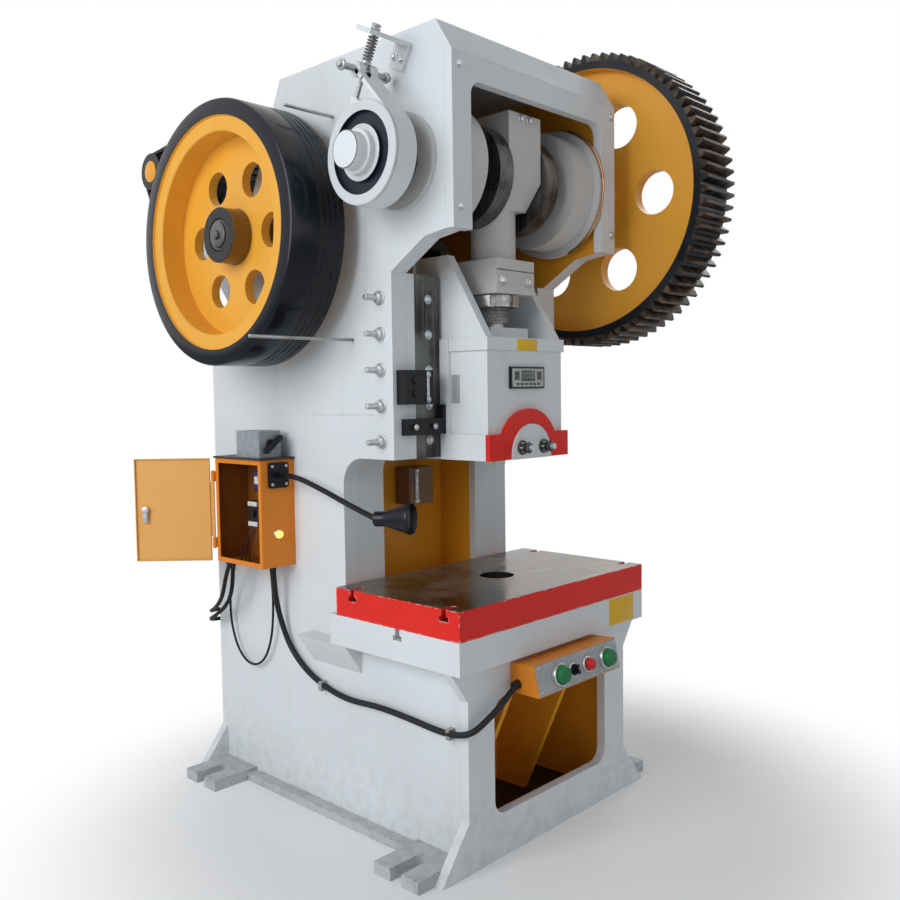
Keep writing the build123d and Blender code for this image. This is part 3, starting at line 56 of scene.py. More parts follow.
camera_place = Vector((-2.2495, -1.9335, 1.3463))
camera_yaw = radians(46.55)
camera_pitch = radians(-3.63)
camera_roll = radians(-0.80)
camera_data = bpy.data.cameras.new("camera")
camera_data.lens = 37.54
camera_data.sensor_width = 36.0
camera = in_scene("camera", camera_data)
camera.matrix_world = (
    Matrix.Translation(camera_place)
    @ Matrix.Rotation(-camera_yaw, 4, "Z")
    @ Matrix.Rotation(pi / 2 + camera_pitch, 4, "X")
    @ Matrix.Rotation(camera_roll, 4, "Z")
)
bpy.context.scene.camera = camera
bpy.context.scene.view_settings.view_transform = "Standard"


# The studio is a pale floor that fades to white, a white surround and large soft lamps.
# The stronger lamp stands on the press's left, so the front faces are a little darker.
def feed(tree, socket, value):
    """Joins an input to a socket, or sets its own value."""
    if isinstance(value, bpy.types.NodeSocket):
        tree.links.new(value, socket)
    elif socket.type == "RGBA" and len(value) == 3:
        socket.default_value = (*value, 1.0)
    else:
        socket.default_value = value


def add_node(tree, kind, *values, **settings):
    """A shader node: properties and inputs by name, and the first inputs by their order."""
    made = tree.nodes.new(kind)
    for key, value in settings.items():
        if key in made.inputs:
            feed(tree, made.inputs[key], value)
        else:
            setattr(made, key, value)
    for socket, value in zip(made.inputs, values):
        feed(tree, socket, value)
    return made


def ramp(tree, value, start, end, low=0.0, high=1.0, smooth=False):
    """A value carried from one range to another."""
    made = add_node(tree, "ShaderNodeMapRange", value, start, end, low, high)
    if smooth:
        made.interpolation_type = "SMOOTHSTEP"
    return made.outputs["Result"]


def product(tree, first, second):
    """Two masks multiplied: sockets or plain numbers."""
    return add_node(tree, "ShaderNodeMath", first, second, operation="MULTIPLY").outputs[0]


def new_material(name):
    """A material with the usual shader."""
    material = bpy.data.materials.new(name)
    material.use_nodes = True
    return material


def soft_lamp(name, place, aim, power, colour):
    """A square studio lamp that faces a point on the press."""
    data = bpy.data.lights.new(name, "AREA")
    data.size = 3.0
    data.energy = power
    data.color = colour
    lamp = in_scene(name, data)
    lamp.location = place
    lamp.rotation_euler = (Vector(aim) - Vector(place)).to_track_quat("-Z", "Y").to_euler()


white = (1.0, 1.0, 1.0)
world = bpy.data.worlds.new("studio")
bpy.context.scene.world = world
world.use_nodes = True
sky = world.node_tree
sky.nodes.clear()
sky_rays = add_node(sky, "ShaderNodeLightPath").outputs
sky_seen = sky_rays["Is Camera Ray"]
for kind in ("Is Glossy Ray", "Is Transmission Ray"):
    sky_seen = add_node(sky, "ShaderNodeMath", sky_seen, sky_rays[kind], operation="MAXIMUM").outputs[0]
sky_fill = add_node(sky, "ShaderNodeBackground", (0.90, 0.95, 1.0), 0.36)
sky_white = add_node(sky, "ShaderNodeBackground", white, 1.0)
sky_mix = add_node(sky, "ShaderNodeMixShader", sky_seen, sky_fill.outputs[0], sky_white.outputs[0])
add_node(sky, "ShaderNodeOutputWorld", sky_mix.outputs[0])
soft_lamp("left_lamp", (-4.6, 0.2, 2.9), (0.0, 0.2, 1.1), 138.0, (0.95, 0.98, 1.0))
soft_lamp("front_lamp", (-0.6, -4.4, 2.2), (0.0, 0.0, 1.2), 12.0, (1.0, 0.97, 0.92))
soft_lamp("right_lamp", (4.2, 0.6, 3.2), (0.2, 0.3, 1.2), 55.0, (1.0, 0.98, 0.95))

floor_mesh = bmesh.new()
bmesh.ops.create_grid(floor_mesh, x_segments=2, y_segments=2, size=30.0)
floor_data = bpy.data.meshes.new("floor")
floor_mesh.to_mesh(floor_data)
floor_mesh.free()
floor = in_scene("floor", floor_data)
floor_paint = new_material("floor_paint")
floor_tree = floor_paint.node_tree
floor_tree.nodes.clear()
floor_rays = add_node(floor_tree, "ShaderNodeLightPath").outputs
floor_place = add_node(floor_tree, "ShaderNodeTexCoord").outputs["Object"]
floor_reach = add_node(floor_tree, "ShaderNodeVectorMath", floor_place, operation="LENGTH").outputs["Value"]
floor_fade = ramp(floor_tree, floor_reach, 0.75, 1.65, smooth=True)
floor_white = product(floor_tree, floor_fade, floor_rays["Is Camera Ray"])
floor_matt = add_node(floor_tree, "ShaderNodeBsdfDiffuse", (0.88, 0.88, 0.88))
floor_glow = add_node(floor_tree, "ShaderNodeEmission", white, 1.0)
floor_shades = (floor_white, floor_matt.outputs[0], floor_glow.outputs[0])
floor_mix = add_node(floor_tree, "ShaderNodeMixShader", *floor_shades)
add_node(floor_tree, "ShaderNodeOutputMaterial", floor_mix.outputs[0])
floor_data.materials.append(floor_paint)


# The frame is welded from thick flame-cut steel plate, filled, ground and sprayed with light grey enamel.
# The paint is satin with a faint orange peel, uneven in tone, and greasy near the floor and round the drive.
def dress(name, material):
    """Gives a CAD node's whole surface one material."""
    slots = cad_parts[name].data.materials
    slots.clear()
    slots.append(material)


def parts_of(material):
    """A material's tree, its shader's inputs and the place that is being shaded."""
    tree = material.node_tree
    place = add_node(tree, "ShaderNodeTexCoord").outputs["Object"]
    return tree, tree.nodes["Principled BSDF"].inputs, place


def speckle(tree, place, scale, detail, low, high):
    """A mask of soft spots: noise of a scale, cut between two levels."""
    noise = add_node(tree, "ShaderNodeTexNoise", Vector=place, Scale=scale, Detail=detail)
    return ramp(tree, noise.outputs["Fac"], low, high, smooth=True)


def stretched(tree, place, scale, turn=0.0):
    """A place scaled by its own amount along each axis and turned about Z."""
    made = add_node(tree, "ShaderNodeMapping", Vector=place, Scale=scale, Rotation=(0.0, 0.0, turn))
    return made.outputs["Vector"]


def blend_colour(tree, mask, first, second):
    """First colour where the mask is 0, second where it is 1: sockets or red, green and blue."""
    made = add_node(tree, "ShaderNodeMix", mask, data_type="RGBA")
    feed(tree, made.inputs[6], first)
    feed(tree, made.inputs[7], second)
    return made.outputs[2]


def uneven_gloss(tree, place, scale, detail, low, high):
    """A roughness that wanders between two values."""
    return ramp(tree, speckle(tree, place, scale, detail, 0.30, 0.70), 0.0, 1.0, low, high)


def rounded_edges(tree, radius):
    """A normal that turns softly across the edges, as broken and painted edges do."""
    return add_node(tree, "ShaderNodeBevel", samples=4, Radius=radius).outputs["Normal"]


def ripple(tree, place, scale, strength, depth, normal):
    """A bump of fine noise on top of another normal."""
    noise = add_node(tree, "ShaderNodeTexNoise", Vector=place, Scale=scale, Detail=2.0)
    made = add_node(tree, "ShaderNodeBump", Strength=strength, Distance=depth, Height=noise.outputs["Fac"],
                    Normal=normal)
    return made.outputs["Normal"]


def above(tree, place, axis, start, end):
    """A mask that rises from 0 to 1 as a coordinate goes from start to end."""
    value = add_node(tree, "ShaderNodeSeparateXYZ", place).outputs[axis]
    if start > end:
        return ramp(tree, value, end, start, 1.0, 0.0, smooth=True)
    return ramp(tree, value, start, end, smooth=True)


def worn_edges(tree, place, radius, grain):
    """A mask of chips along sharp edges, broken up by noise."""
    flat = add_node(tree, "ShaderNodeNewGeometry").outputs["Normal"]
    turn = add_node(tree, "ShaderNodeVectorMath", rounded_edges(tree, radius), flat, operation="DOT_PRODUCT")
    edge = ramp(tree, turn.outputs["Value"], 0.995, 0.93)
    return product(tree, edge, speckle(tree, place, grain, 6.0, 0.50, 0.62))


def enamel(name, colour, grime, rough=0.34, chips=None, grime_top=0.35, low_share=0.16):
    """Sprayed enamel: uneven tone, grime low down and in streaks, orange peel, and chips where asked."""
    material = new_material(name)
    tree, shader, place = parts_of(material)
    shader["Specular IOR Level"].default_value = 0.28
    darker = tuple(value * 0.94 for value in colour)
    tone = blend_colour(tree, speckle(tree, place, 2.2, 3.0, 0.32, 0.68), darker, colour)
    tone = blend_colour(tree, product(tree, speckle(tree, place, 46.0, 7.0, 0.64, 0.82), 0.22), tone, grime)
    low = product(tree, above(tree, place, "Z", grime_top, 0.0), speckle(tree, place, 26.0, 9.0, 0.40, 0.70))
    tone = blend_colour(tree, product(tree, low, low_share), tone, grime)
    streaks = speckle(tree, stretched(tree, place, (16.0, 16.0, 0.9)), 1.0, 5.0, 0.58, 0.76)
    tone = blend_colour(tree, product(tree, streaks, 0.07), tone, grime)
    if chips:
        tone = blend_colour(tree, worn_edges(tree, place, 0.006, 60.0), tone, chips)
    feed(tree, shader["Base Color"], tone)
    feed(tree, shader["Roughness"], uneven_gloss(tree, place, 6.0, 5.0, rough - 0.06, rough + 0.14))
    normal = ripple(tree, place, 9.0, 0.16, 0.004, rounded_edges(tree, 0.0022))
    feed(tree, shader["Normal"], ripple(tree, place, 240.0, 0.07, 0.0008, normal))
    return material


grey_colour = (0.72, 0.75, 0.77)
frame_grime = (0.19, 0.18, 0.17)
frame_enamel = enamel("frame_enamel", grey_colour, frame_grime)
for plate in (
    "rear_plate",
    "rear_slope_plate",
    "bed_block",
    "head_front_plate",
    "top_plate",
    "side_lugs",
    "guide_cheeks",
    "drive_bearings",
):
    dress(plate, frame_enamel)

# The skids are low rails with slotted anchor pads, burnt from plate and painted with the frame.
# Feet and forklifts have scuffed them, so the paint is dull and chipped at the edges.
skid_enamel = enamel("skid_enamel", (0.50, 0.52, 0.53), (0.12, 0.115, 0.11), rough=0.5,
                     chips=(0.2, 0.19, 0.18), low_share=0.25)
dress("floor_skids", skid_enamel)

# The column web and the ribs behind the window are brushed over in orange enamel.
# The walls, the pedestal's front and the leg boxes are grey outside and orange on the faces inside the frame.
orange_colour = (0.84, 0.36, 0.024)
orange_grime = (0.17, 0.08, 0.03)
orange_enamel = enamel("orange_enamel", orange_colour, orange_grime, rough=0.3)
dress("column_web", orange_enamel)
dress("pedestal_gussets", orange_enamel)


def overpaint(tree, shader, mask, colour):
    """Lays a colour over a shader's own where a mask is 1."""
    own = shader["Base Color"].links[0].from_socket
    feed(tree, shader["Base Color"], blend_colour(tree, mask, own, colour))


def two_tone(name, axis, start, end):
    """Frame enamel that turns to orange past a plane, but not on what stands out beyond the walls."""
    material = enamel(name, grey_colour, frame_grime)
    tree, shader, place = parts_of(material)
    wall_half = 0.384
    soft = 0.0006
    mask = above(tree, place, axis, start, end)
    right_of = above(tree, place, "X", -wall_half - soft, -wall_half + soft)
    left_of = above(tree, place, "X", wall_half + soft, wall_half - soft)
    mask = product(tree, mask, product(tree, right_of, left_of))
    overpaint(tree, shader, mask, orange_colour)
    return material


paint_start = 0.0008
paint_end = 0.0003
for plate, name, axis, face, inward in (
    ("left_side_plate", "left_wall_enamel", "X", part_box("left_side_plate")[1][0], 1),
    ("right_side_plate", "right_wall_enamel", "X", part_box("right_side_plate")[0][0], -1),
    ("pedestal_front_plate", "pedestal_enamel", "Y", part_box("pedestal_front_plate")[1][1], 1),
):
    dress(plate, two_tone(name, axis, face - inward * paint_start, face - inward * paint_end))
flange_rear_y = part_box("leg_boxes")[1][1] - 0.142
dress("leg_boxes", two_tone("leg_enamel", "Y", flange_rear_y - 0.001, flange_rear_y + 0.001))


# Plated cap screws on washers hold the cover strips on the head's posts, two on each side.
# Each head is a bevelled hexagon on a thin round washer.
def facing(place, direction):
    """The matrix that sets a shape's own Z along a direction at a place."""
    return Matrix.Translation(place) @ Vector(direction).to_track_quat("Z", "Y").to_matrix().to_4x4()


def bevelled(mesh, edges, offset):
    """Breaks edges with a small round."""
    bmesh.ops.bevel(mesh, geom=edges, offset=offset, offset_type="OFFSET", segments=2, profile=0.5,
                    affect="EDGES", material=-1, clamp_overlap=True)


def add_drum(mesh, spot, radius, height, segments=24, edge=0.0, top_radius=None):
    """A round or many-sided prism that stands on a matrix's XY plane, with its rims bevelled."""
    end_radius = radius if top_radius is None else top_radius
    made = bmesh.ops.create_cone(mesh, cap_ends=True, segments=segments, radius1=radius, radius2=end_radius,
                                 depth=height, matrix=spot @ Matrix.Translation((0.0, 0.0, height / 2)))
    if edge:
        rims = {rim for vert in made["verts"] for rim in vert.link_edges}
        rims = [rim for rim in rims if any(len(face.verts) == segments for face in rim.link_faces)]
        bevelled(mesh, rims, edge)


def add_screw(mesh, place, direction, radius):
    """A hexagon-headed screw on a washer."""
    spot = facing(place, direction)
    add_drum(mesh, spot, radius * 1.45, radius * 0.25, edge=radius * 0.06)
    add_drum(mesh, spot, radius, radius * 0.95, segments=6, edge=radius * 0.14)


def piece_of(name, mesh, material, body):
    """A finished piece: doubles merged, faces outward and smooth between sharp edges, riding on a body."""
    bmesh.ops.remove_doubles(mesh, verts=mesh.verts, dist=0.00002)
    bmesh.ops.recalc_face_normals(mesh, faces=mesh.faces)
    for face in mesh.faces:
        face.smooth = True
    for edge in mesh.edges:
        edge.smooth = edge.calc_face_angle(pi) < radians(35.0)
    data = bpy.data.meshes.new(name)
    mesh.to_mesh(data)
    mesh.free()
    made = in_scene(name, data)
    data.materials.append(material)
    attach(made, body)
    return made


to_front = (0, -1, 0)
zinc = enamel("zinc", (0.56, 0.57, 0.58), (0.20, 0.18, 0.16), rough=0.34, grime_top=0.0)
parts_of(zinc)[1]["Metallic"].default_value = 0.8
head_front_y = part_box("head_front_plate")[0][1]
post_screws = bmesh.new()
for screw_x in (-0.356, 0.365):
    for screw_z in (1.843, 2.219):
        add_screw(post_screws, (screw_x, head_front_y, screw_z), to_front, 0.0085)
piece_of("post_screws", post_screws, zinc, "frame")

# A weld seam runs across the left wall behind the guide, where two plates of the wall meet.
# It is a low round bead under the frame's grey paint.
left_wall_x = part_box("left_side_plate")[0][0]
wall_seam = bmesh.new()
add_drum(wall_seam, facing((left_wall_x, 0.145, 1.277), (0, 1, 0)), 0.0022, 0.285, segments=10)
piece_of("wall_seam", wall_seam, frame_enamel, "frame")


# A loose drip tray of sheet steel lies on the floor inside the pedestal.
# Its near-black colour is painted shade for the dim inside of the pedestal, and partly the oil on the floor
# there.
def add_plate(mesh, spot, outlines, thick):
    """A flat plate within an outline, with any further outlines as holes, thick along a matrix's Z."""
    edges = []
    for outline in outlines:
        verts = [mesh.verts.new(spot @ Vector((first, second, 0.0))) for first, second in outline]
        edges += [mesh.edges.new((verts[number - 1], verts[number])) for number in range(len(verts))]
    filled = bmesh.ops.triangle_fill(mesh, use_beauty=True, use_dissolve=False, edges=edges)["geom"]
    faces = [item for item in filled if isinstance(item, bmesh.types.BMFace)]
    grown = bmesh.ops.extrude_face_region(mesh, geom=faces)["geom"]
    moved = [item for item in grown if isinstance(item, bmesh.types.BMVert)]
    bmesh.ops.translate(mesh, verts=moved, vec=spot.to_3x3() @ Vector((0.0, 0.0, thick)))


drip_tray = bmesh.new()
tray_outline = [(-0.324, -0.191), (0.324, -0.191), (0.324, 0.480), (-0.324, 0.480)]
add_plate(drip_tray, Matrix.Translation((0.0, 0.0, 0.002)), [tray_outline], 0.010)
# Painted shade: the tray is near black to darken the pedestal's shaded inside.
tray_shade_enamel = enamel("tray_shade_enamel", (0.014, 0.012, 0.010), (0.03, 0.02, 0.012), rough=0.30)
piece_of("drip_tray", drip_tray, tray_shade_enamel, "frame")


# The bolster table is a planed steel slab: bare and oily on top and red round its sides; its drop hole's
# walls are painted black as painted shade.
# Clamps and blanks have scraped its top, and the paint has come off along the upper edges.
def off_axis(tree, place, centre, across):
    """The distance from an axis through a centre, taken across the axis."""
    moved = add_node(tree, "ShaderNodeVectorMath", place, centre, operation="SUBTRACT").outputs[0]
    flat = add_node(tree, "ShaderNodeVectorMath", moved, across, operation="MULTIPLY").outputs[0]
    return add_node(tree, "ShaderNodeVectorMath", flat, operation="LENGTH").outputs["Value"]


red_colour = (0.78, 0.016, 0.008)
red_grime = (0.10, 0.012, 0.01)
table_enamel = enamel("table_enamel", red_colour, red_grime, rough=0.24, chips=(0.62, 0.60, 0.56))
tree, shader, place = parts_of(table_enamel)
up_normal = add_node(tree, "ShaderNodeNewGeometry").outputs["True Normal"]
table_top_mask = above(tree, up_normal, "Z", 0.80, 0.95)
hole_reach = off_axis(tree, place, (0.0, 0.0, 0.0), (1.0, 1.0, 0.0))
# Painted shade: the walls of the drop hole are painted near black.
overpaint(tree, shader, ramp(tree, hole_reach, 0.057, 0.056), (0.014, 0.013, 0.012))
oil_spots = speckle(tree, place, 6.0, 8.0, 0.34, 0.62)
oil = blend_colour(tree, oil_spots, (0.055, 0.043, 0.033), (0.24, 0.205, 0.165))
scrape_place = stretched(tree, place, (6.0, 70.0, 6.0), radians(28.0))
scraped = speckle(tree, scrape_place, 1.0, 5.0, 0.60, 0.74)
oil = blend_colour(tree, product(tree, scraped, 0.6), oil, (0.42, 0.41, 0.38))
overpaint(tree, shader, table_top_mask, oil)
feed(tree, shader["Metallic"], product(tree, table_top_mask, 0.8))
dress("bolster_table", table_enamel)


# The guide strips are ground steel, black with old oil, and the sliding faces are kept wet by the lubricator.
# Zinc-plated studs with nuts set them from the sides, and cap screws hold them from the front.
def bare_steel(name, colour, stain, rough, stretch):
    """Machined steel with oil stains, fine tool marks along one direction and scratches."""
    material = new_material(name)
    tree, shader, place = parts_of(material)
    tone = blend_colour(tree, speckle(tree, place, 7.0, 6.0, 0.35, 0.65), stain, colour)
    marks = speckle(tree, stretched(tree, place, stretch), 1.0, 4.0, 0.42, 0.70)
    lighter = tuple(min(1.0, value * 1.8) for value in colour)
    tone = blend_colour(tree, product(tree, marks, 0.30), tone, lighter)
    feed(tree, shader["Base Color"], tone)
    shader["Metallic"].default_value = 0.85
    feed(tree, shader["Roughness"], uneven_gloss(tree, place, 14.0, 6.0, rough - 0.10, rough + 0.16))
    bump = add_node(tree, "ShaderNodeBump", Strength=0.12, Distance=0.0006, Height=marks,
                    Normal=rounded_edges(tree, 0.0014))
    feed(tree, shader["Normal"], bump.outputs["Normal"])
    return material


def add_lathe(mesh, spot, profile, steps):
    """A turned shape: a profile of radius and height, spun round a matrix's Z."""
    verts = [mesh.verts.new(spot @ Vector((radius, 0.0, height))) for radius, height in profile]
    edges = [mesh.edges.new(pair) for pair in zip(verts, verts[1:])]
    axis = spot.to_3x3() @ Vector((0.0, 0.0, 1.0))
    bmesh.ops.spin(mesh, geom=verts + edges, cent=spot.to_translation(), axis=axis, angle=2 * pi, steps=steps,
                   use_merge=True, use_duplicate=False)


def ridges(radius, depth, pitch, count, start=0.0):
    """The profile of a thread, as ridges at a pitch."""
    return [(radius - depth * (step % 2), start + pitch * step) for step in range(count)]


oily_steel = bare_steel("oily_steel", (0.15, 0.15, 0.145), (0.03, 0.03, 0.028), 0.34, (120.0, 120.0, 4.0))
bright_steel = bare_steel("bright_steel", (0.50, 0.51, 0.52), (0.24, 0.23, 0.22), 0.34, (4.0, 160.0, 160.0))
dress("gib_strips", oily_steel)
gib_front_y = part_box("gib_strips")[0][1]
gib_low, gib_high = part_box("gib_bolts")
gib_stud_y = (gib_low[1] + gib_high[1]) / 2
gib_half = (gib_high[1] - gib_low[1]) / 2
gib_pitch = (gib_high[2] - gib_low[2] - 2 * gib_half) / 4
gib_stud_end = 0.060
gib_stud_loop = [(0.0, 0.0)] + ridges(0.0090, 0.0011, 0.0026, 23)
gib_stud_loop += [(0.0066, gib_stud_end), (0.0, gib_stud_end)]
gib_studs = bmesh.new()
gib_screws = bmesh.new()
for number in range(5):
    height = gib_low[2] + gib_half + number * gib_pitch
    for side in (-1, 1):
        spot = facing((side * -left_wall_x, gib_stud_y, height), (side, 0, 0))
        add_drum(gib_studs, spot, 0.0215, 0.003, edge=0.0005)
        add_drum(gib_studs, spot, 0.0170, 0.016, segments=6, edge=0.0018)
        add_lathe(gib_studs, spot, gib_stud_loop, 16)
        add_screw(gib_screws, (side * 0.238, gib_front_y, height), to_front, 0.0095)
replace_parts(piece_of("gib_studs", gib_studs, zinc, "frame"), "gib_bolts")
piece_of("gib_screws", gib_screws, zinc, "frame")


# The flywheel is a grey-iron casting: gloss black on its turned rim, orange on the sunk web and its holes.
# Grease has blackened the end of the hub. It is keyed on a turned steel shaft, which a screwed cap closes.
def beyond(tree, value, limit):
    """A mask of 1 where a value is over a limit, with a narrow blend."""
    blend = 0.0006
    return ramp(tree, value, limit - blend, limit + blend)


def arc(radius, turns, y=0.0, z=0.0):
    """The points at some turns round a centre, as pairs."""
    return [(y + radius * cos(turn), z + radius * sin(turn)) for turn in turns]


def circle(radius, y, z, count):
    """The points of a circle, as pairs."""
    return arc(radius, [2 * pi * number / count for number in range(count)], y, z)


def across_x(x, y, z):
    """The matrix that sets an outline across the X axis at a place."""
    return Matrix(((0, 0, 1, x), (1, 0, 0, y), (0, 1, 0, z), (0, 0, 0, 1)))


to_left = (-1, 0, 0)
to_right = (1, 0, 0)
wheel_low, wheel_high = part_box("flywheel")
wheel_y = (wheel_low[1] + wheel_high[1]) / 2
wheel_z = (wheel_low[2] + wheel_high[2]) / 2
wheel_radius = (wheel_high[2] - wheel_low[2]) / 2
ring_radius = wheel_radius - 0.050
lip_radius = ring_radius - 0.046
hub_radius = 0.084
black_colour = (0.004, 0.006, 0.010)
wheel_orange = (0.83, 0.40, 0.045)
wheel_grime = (0.16, 0.07, 0.02)
wheel_enamel = enamel("wheel_enamel", wheel_orange, wheel_grime, rough=0.28)
tree, shader, place = parts_of(wheel_enamel)
wheel_across = (0.0, 1.0, 1.0)
wheel_reach = off_axis(tree, place, (0.0, wheel_y, wheel_z), wheel_across)
paint_lap = 0.0008
rim_mask = beyond(tree, wheel_reach, ring_radius + paint_lap)
overpaint(tree, shader, rim_mask, black_colour)
grease_mask = ramp(tree, wheel_reach, hub_radius + 0.006, hub_radius - 0.002)
overpaint(tree, shader, grease_mask, (0.016, 0.015, 0.014))
rim_gloss = add_node(tree, "ShaderNodeMix", rim_mask, data_type="FLOAT")
feed(tree, rim_gloss.inputs[2], shader["Roughness"].links[0].from_socket)
feed(tree, rim_gloss.inputs[3], 0.20)
feed(tree, shader["Roughness"], rim_gloss.outputs[0])

wheel_front_x = wheel_low[0] + 0.015
wheel_rear_x = wheel_high[0]
hub_front_x = wheel_front_x + 0.024
lip_front_x = wheel_front_x + 0.008
web_front_x = wheel_front_x + 0.088
web_rear_x = web_front_x + 0.030
shaft_radius = 0.0502
groove_radius = wheel_radius - 0.0113
groove_half = 0.0063
groove_pitch = 0.021
wheel_axle = facing((0.0, wheel_y, wheel_z), to_right)
rim_loop = [(lip_radius, web_rear_x), (lip_radius, lip_front_x + 0.003), (lip_radius + 0.003, lip_front_x)]
rim_loop += [(ring_radius, lip_front_x), (ring_radius, wheel_front_x + 0.002)]
rim_loop += [(ring_radius + 0.002, wheel_front_x), (wheel_radius - 0.008, wheel_front_x)]
rim_loop += [(wheel_radius - 0.0025, wheel_front_x + 0.0025), (wheel_radius, wheel_front_x + 0.008)]
for number in (3, 2, 1, 0):
    groove_x = wheel_rear_x - 0.022 - number * groove_pitch
    rim_loop += [(wheel_radius, groove_x - groove_half), (groove_radius, groove_x - groove_half)]
    rim_loop += [(groove_radius, groove_x + groove_half), (wheel_radius, groove_x + groove_half)]
rim_loop += [(wheel_radius, wheel_rear_x), (ring_radius, wheel_rear_x)]
rim_loop += [(ring_radius, web_rear_x), rim_loop[0]]
hub_loop = [(shaft_radius, hub_front_x), (hub_radius - 0.003, hub_front_x), (hub_radius, hub_front_x + 0.003)]
hub_loop += [(hub_radius, wheel_rear_x), (shaft_radius, wheel_rear_x), (shaft_radius, hub_front_x)]
wheel = bmesh.new()
add_lathe(wheel, wheel_axle, rim_loop, 112)
add_lathe(wheel, wheel_axle, hub_loop, 56)
web_outlines = [circle(lip_radius + 0.004, 0.0, 0.0, 112), circle(hub_radius - 0.004, 0.0, 0.0, 56)]
web_outlines += [circle(0.052, *centre, 40) for centre in circle(0.186, 0.0, 0.0, 6)]
add_plate(wheel, across_x(web_front_x, wheel_y, wheel_z), web_outlines, web_rear_x - web_front_x)
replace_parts(piece_of("flywheel_casting", wheel, wheel_enamel, "flywheel"), "flywheel")
shaft = bmesh.new()
shaft_start_x = hub_front_x + 0.001
shaft_end_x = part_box("drive_shaft")[1][0]
shaft_loop = [(0.0, shaft_start_x), (0.046, shaft_start_x), (0.050, hub_front_x + 0.005)]
shaft_loop += [(0.050, shaft_end_x - 0.004), (0.046, shaft_end_x), (0.0, shaft_end_x)]
add_lathe(shaft, wheel_axle, shaft_loop, 56)
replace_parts(piece_of("drive_shaft_bar", shaft, oily_steel, "flywheel"), "drive_shaft")
shaft_cap = bmesh.new()
cap_spot = facing((shaft_start_x, wheel_y, wheel_z), to_left)
cap_screw_spot = facing((hub_front_x - 0.004, wheel_y, wheel_z), to_left)
add_drum(shaft_cap, cap_spot, 0.040, 0.005, segments=40, edge=0.0012)
add_drum(shaft_cap, cap_screw_spot, 0.015, 0.009, segments=6, edge=0.0016)
piece_of("shaft_cap", shaft_cap, oily_steel, "flywheel")

# The spur gear is cast steel with hobbed teeth, black on the rim and orange on the web inside it.
# The flanks and the pinion run in grease that has turned brown.
gear_low, gear_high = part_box("bull_gear")
gear_y = (gear_low[1] + gear_high[1]) / 2
gear_z = (gear_low[2] + gear_high[2]) / 2
gear_inner_radius = 0.440
gear_root_radius = 0.465
gear_enamel = enamel("gear_enamel", wheel_orange, wheel_grime, rough=0.30)
tree, shader, place = parts_of(gear_enamel)
gear_reach = off_axis(tree, place, (0.0, gear_y, gear_z), wheel_across)
overpaint(tree, shader, beyond(tree, gear_reach, gear_inner_radius + paint_lap), black_colour)
grease_spots = speckle(tree, place, 22.0, 6.0, 0.40, 0.66)
greasy = blend_colour(tree, grease_spots, (0.014, 0.011, 0.009), (0.11, 0.062, 0.036))
overpaint(tree, shader, beyond(tree, gear_reach, gear_root_radius + 0.002), greasy)
dress("bull_gear", gear_enamel)
greasy_steel = bare_steel("greasy_steel", (0.12, 0.09, 0.07), (0.02, 0.016, 0.012), 0.36, (4.0, 90.0, 90.0))
dress("drive_pinion", greasy_steel)

# The crankshaft is forged and turned, and its left end is closed by a cap in frame grey.
# It carries the brake drum, a turned casting in grey with a sunk ring painted near black in its face.
crank_z = gear_z
drum_hub_radius = 0.076
drum_ring_radius = 0.110
dress("crankshaft", oily_steel)
crank_cap = bmesh.new()
crank_cap_spot = facing((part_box("crankshaft")[0][0] + 0.056, 0.0, crank_z), to_left)
add_drum(crank_cap, crank_cap_spot, 0.0504, 0.0562, segments=56, edge=0.003)
add_drum(crank_cap, crank_cap_spot, 0.0600, 0.0200, segments=56, edge=0.002)
piece_of("crank_cap", crank_cap, frame_enamel, "crank")
drum_enamel = enamel("drum_enamel", (0.62, 0.645, 0.665), frame_grime)
tree, shader, place = parts_of(drum_enamel)
drum_reach = off_axis(tree, place, (0.0, gear_y, crank_z), wheel_across)
past_hub = beyond(tree, drum_reach, drum_hub_radius - paint_lap)
past_ring = beyond(tree, drum_reach, drum_ring_radius + paint_lap)
in_ring = add_node(tree, "ShaderNodeMath", past_hub, past_ring, operation="SUBTRACT").outputs[0]
overpaint(tree, shader, in_ring, (0.010, 0.012, 0.022))
drum_front_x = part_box("brake_drum")[0][0]
drum_rear_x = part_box("brake_drum")[1][0]
drum_radius = 0.126
drum_flange_radius = 0.139
ring_floor_x = drum_front_x + 0.012
drum_loop = [(shaft_radius, drum_front_x), (drum_hub_radius, drum_front_x), (drum_hub_radius, ring_floor_x)]
drum_loop += [(drum_ring_radius, ring_floor_x), (drum_ring_radius, drum_front_x)]
drum_loop += [(drum_flange_radius - 0.002, drum_front_x), (drum_flange_radius, drum_front_x + 0.002)]
drum_loop += [(drum_flange_radius, drum_front_x + 0.008), (drum_radius, drum_front_x + 0.008)]
drum_loop += [(drum_radius, drum_rear_x), (shaft_radius, drum_rear_x), (shaft_radius, drum_front_x)]
brake_wheel = bmesh.new()
add_lathe(brake_wheel, facing((0.0, 0.0, crank_z), to_right), drum_loop, 72)
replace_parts(piece_of("brake_wheel", brake_wheel, drum_enamel, "crank"), "brake_drum")

# Two bright steel bars are screwed into the left wall in front of the flywheel.
# They keep hands off the rim.
guard_bars = bmesh.new()
for guard_y, guard_z, guard_length in ((0.228, 1.502, 0.372), (0.299, 2.174, 0.182)):
    guard_spot = facing((left_wall_x + 0.004, guard_y, guard_z), to_left)
    add_drum(guard_bars, guard_spot, 0.005, guard_length + 0.004, segments=20, edge=0.001)
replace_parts(piece_of("guard_bars", guard_bars, bright_steel, "frame"), "guard_rods")


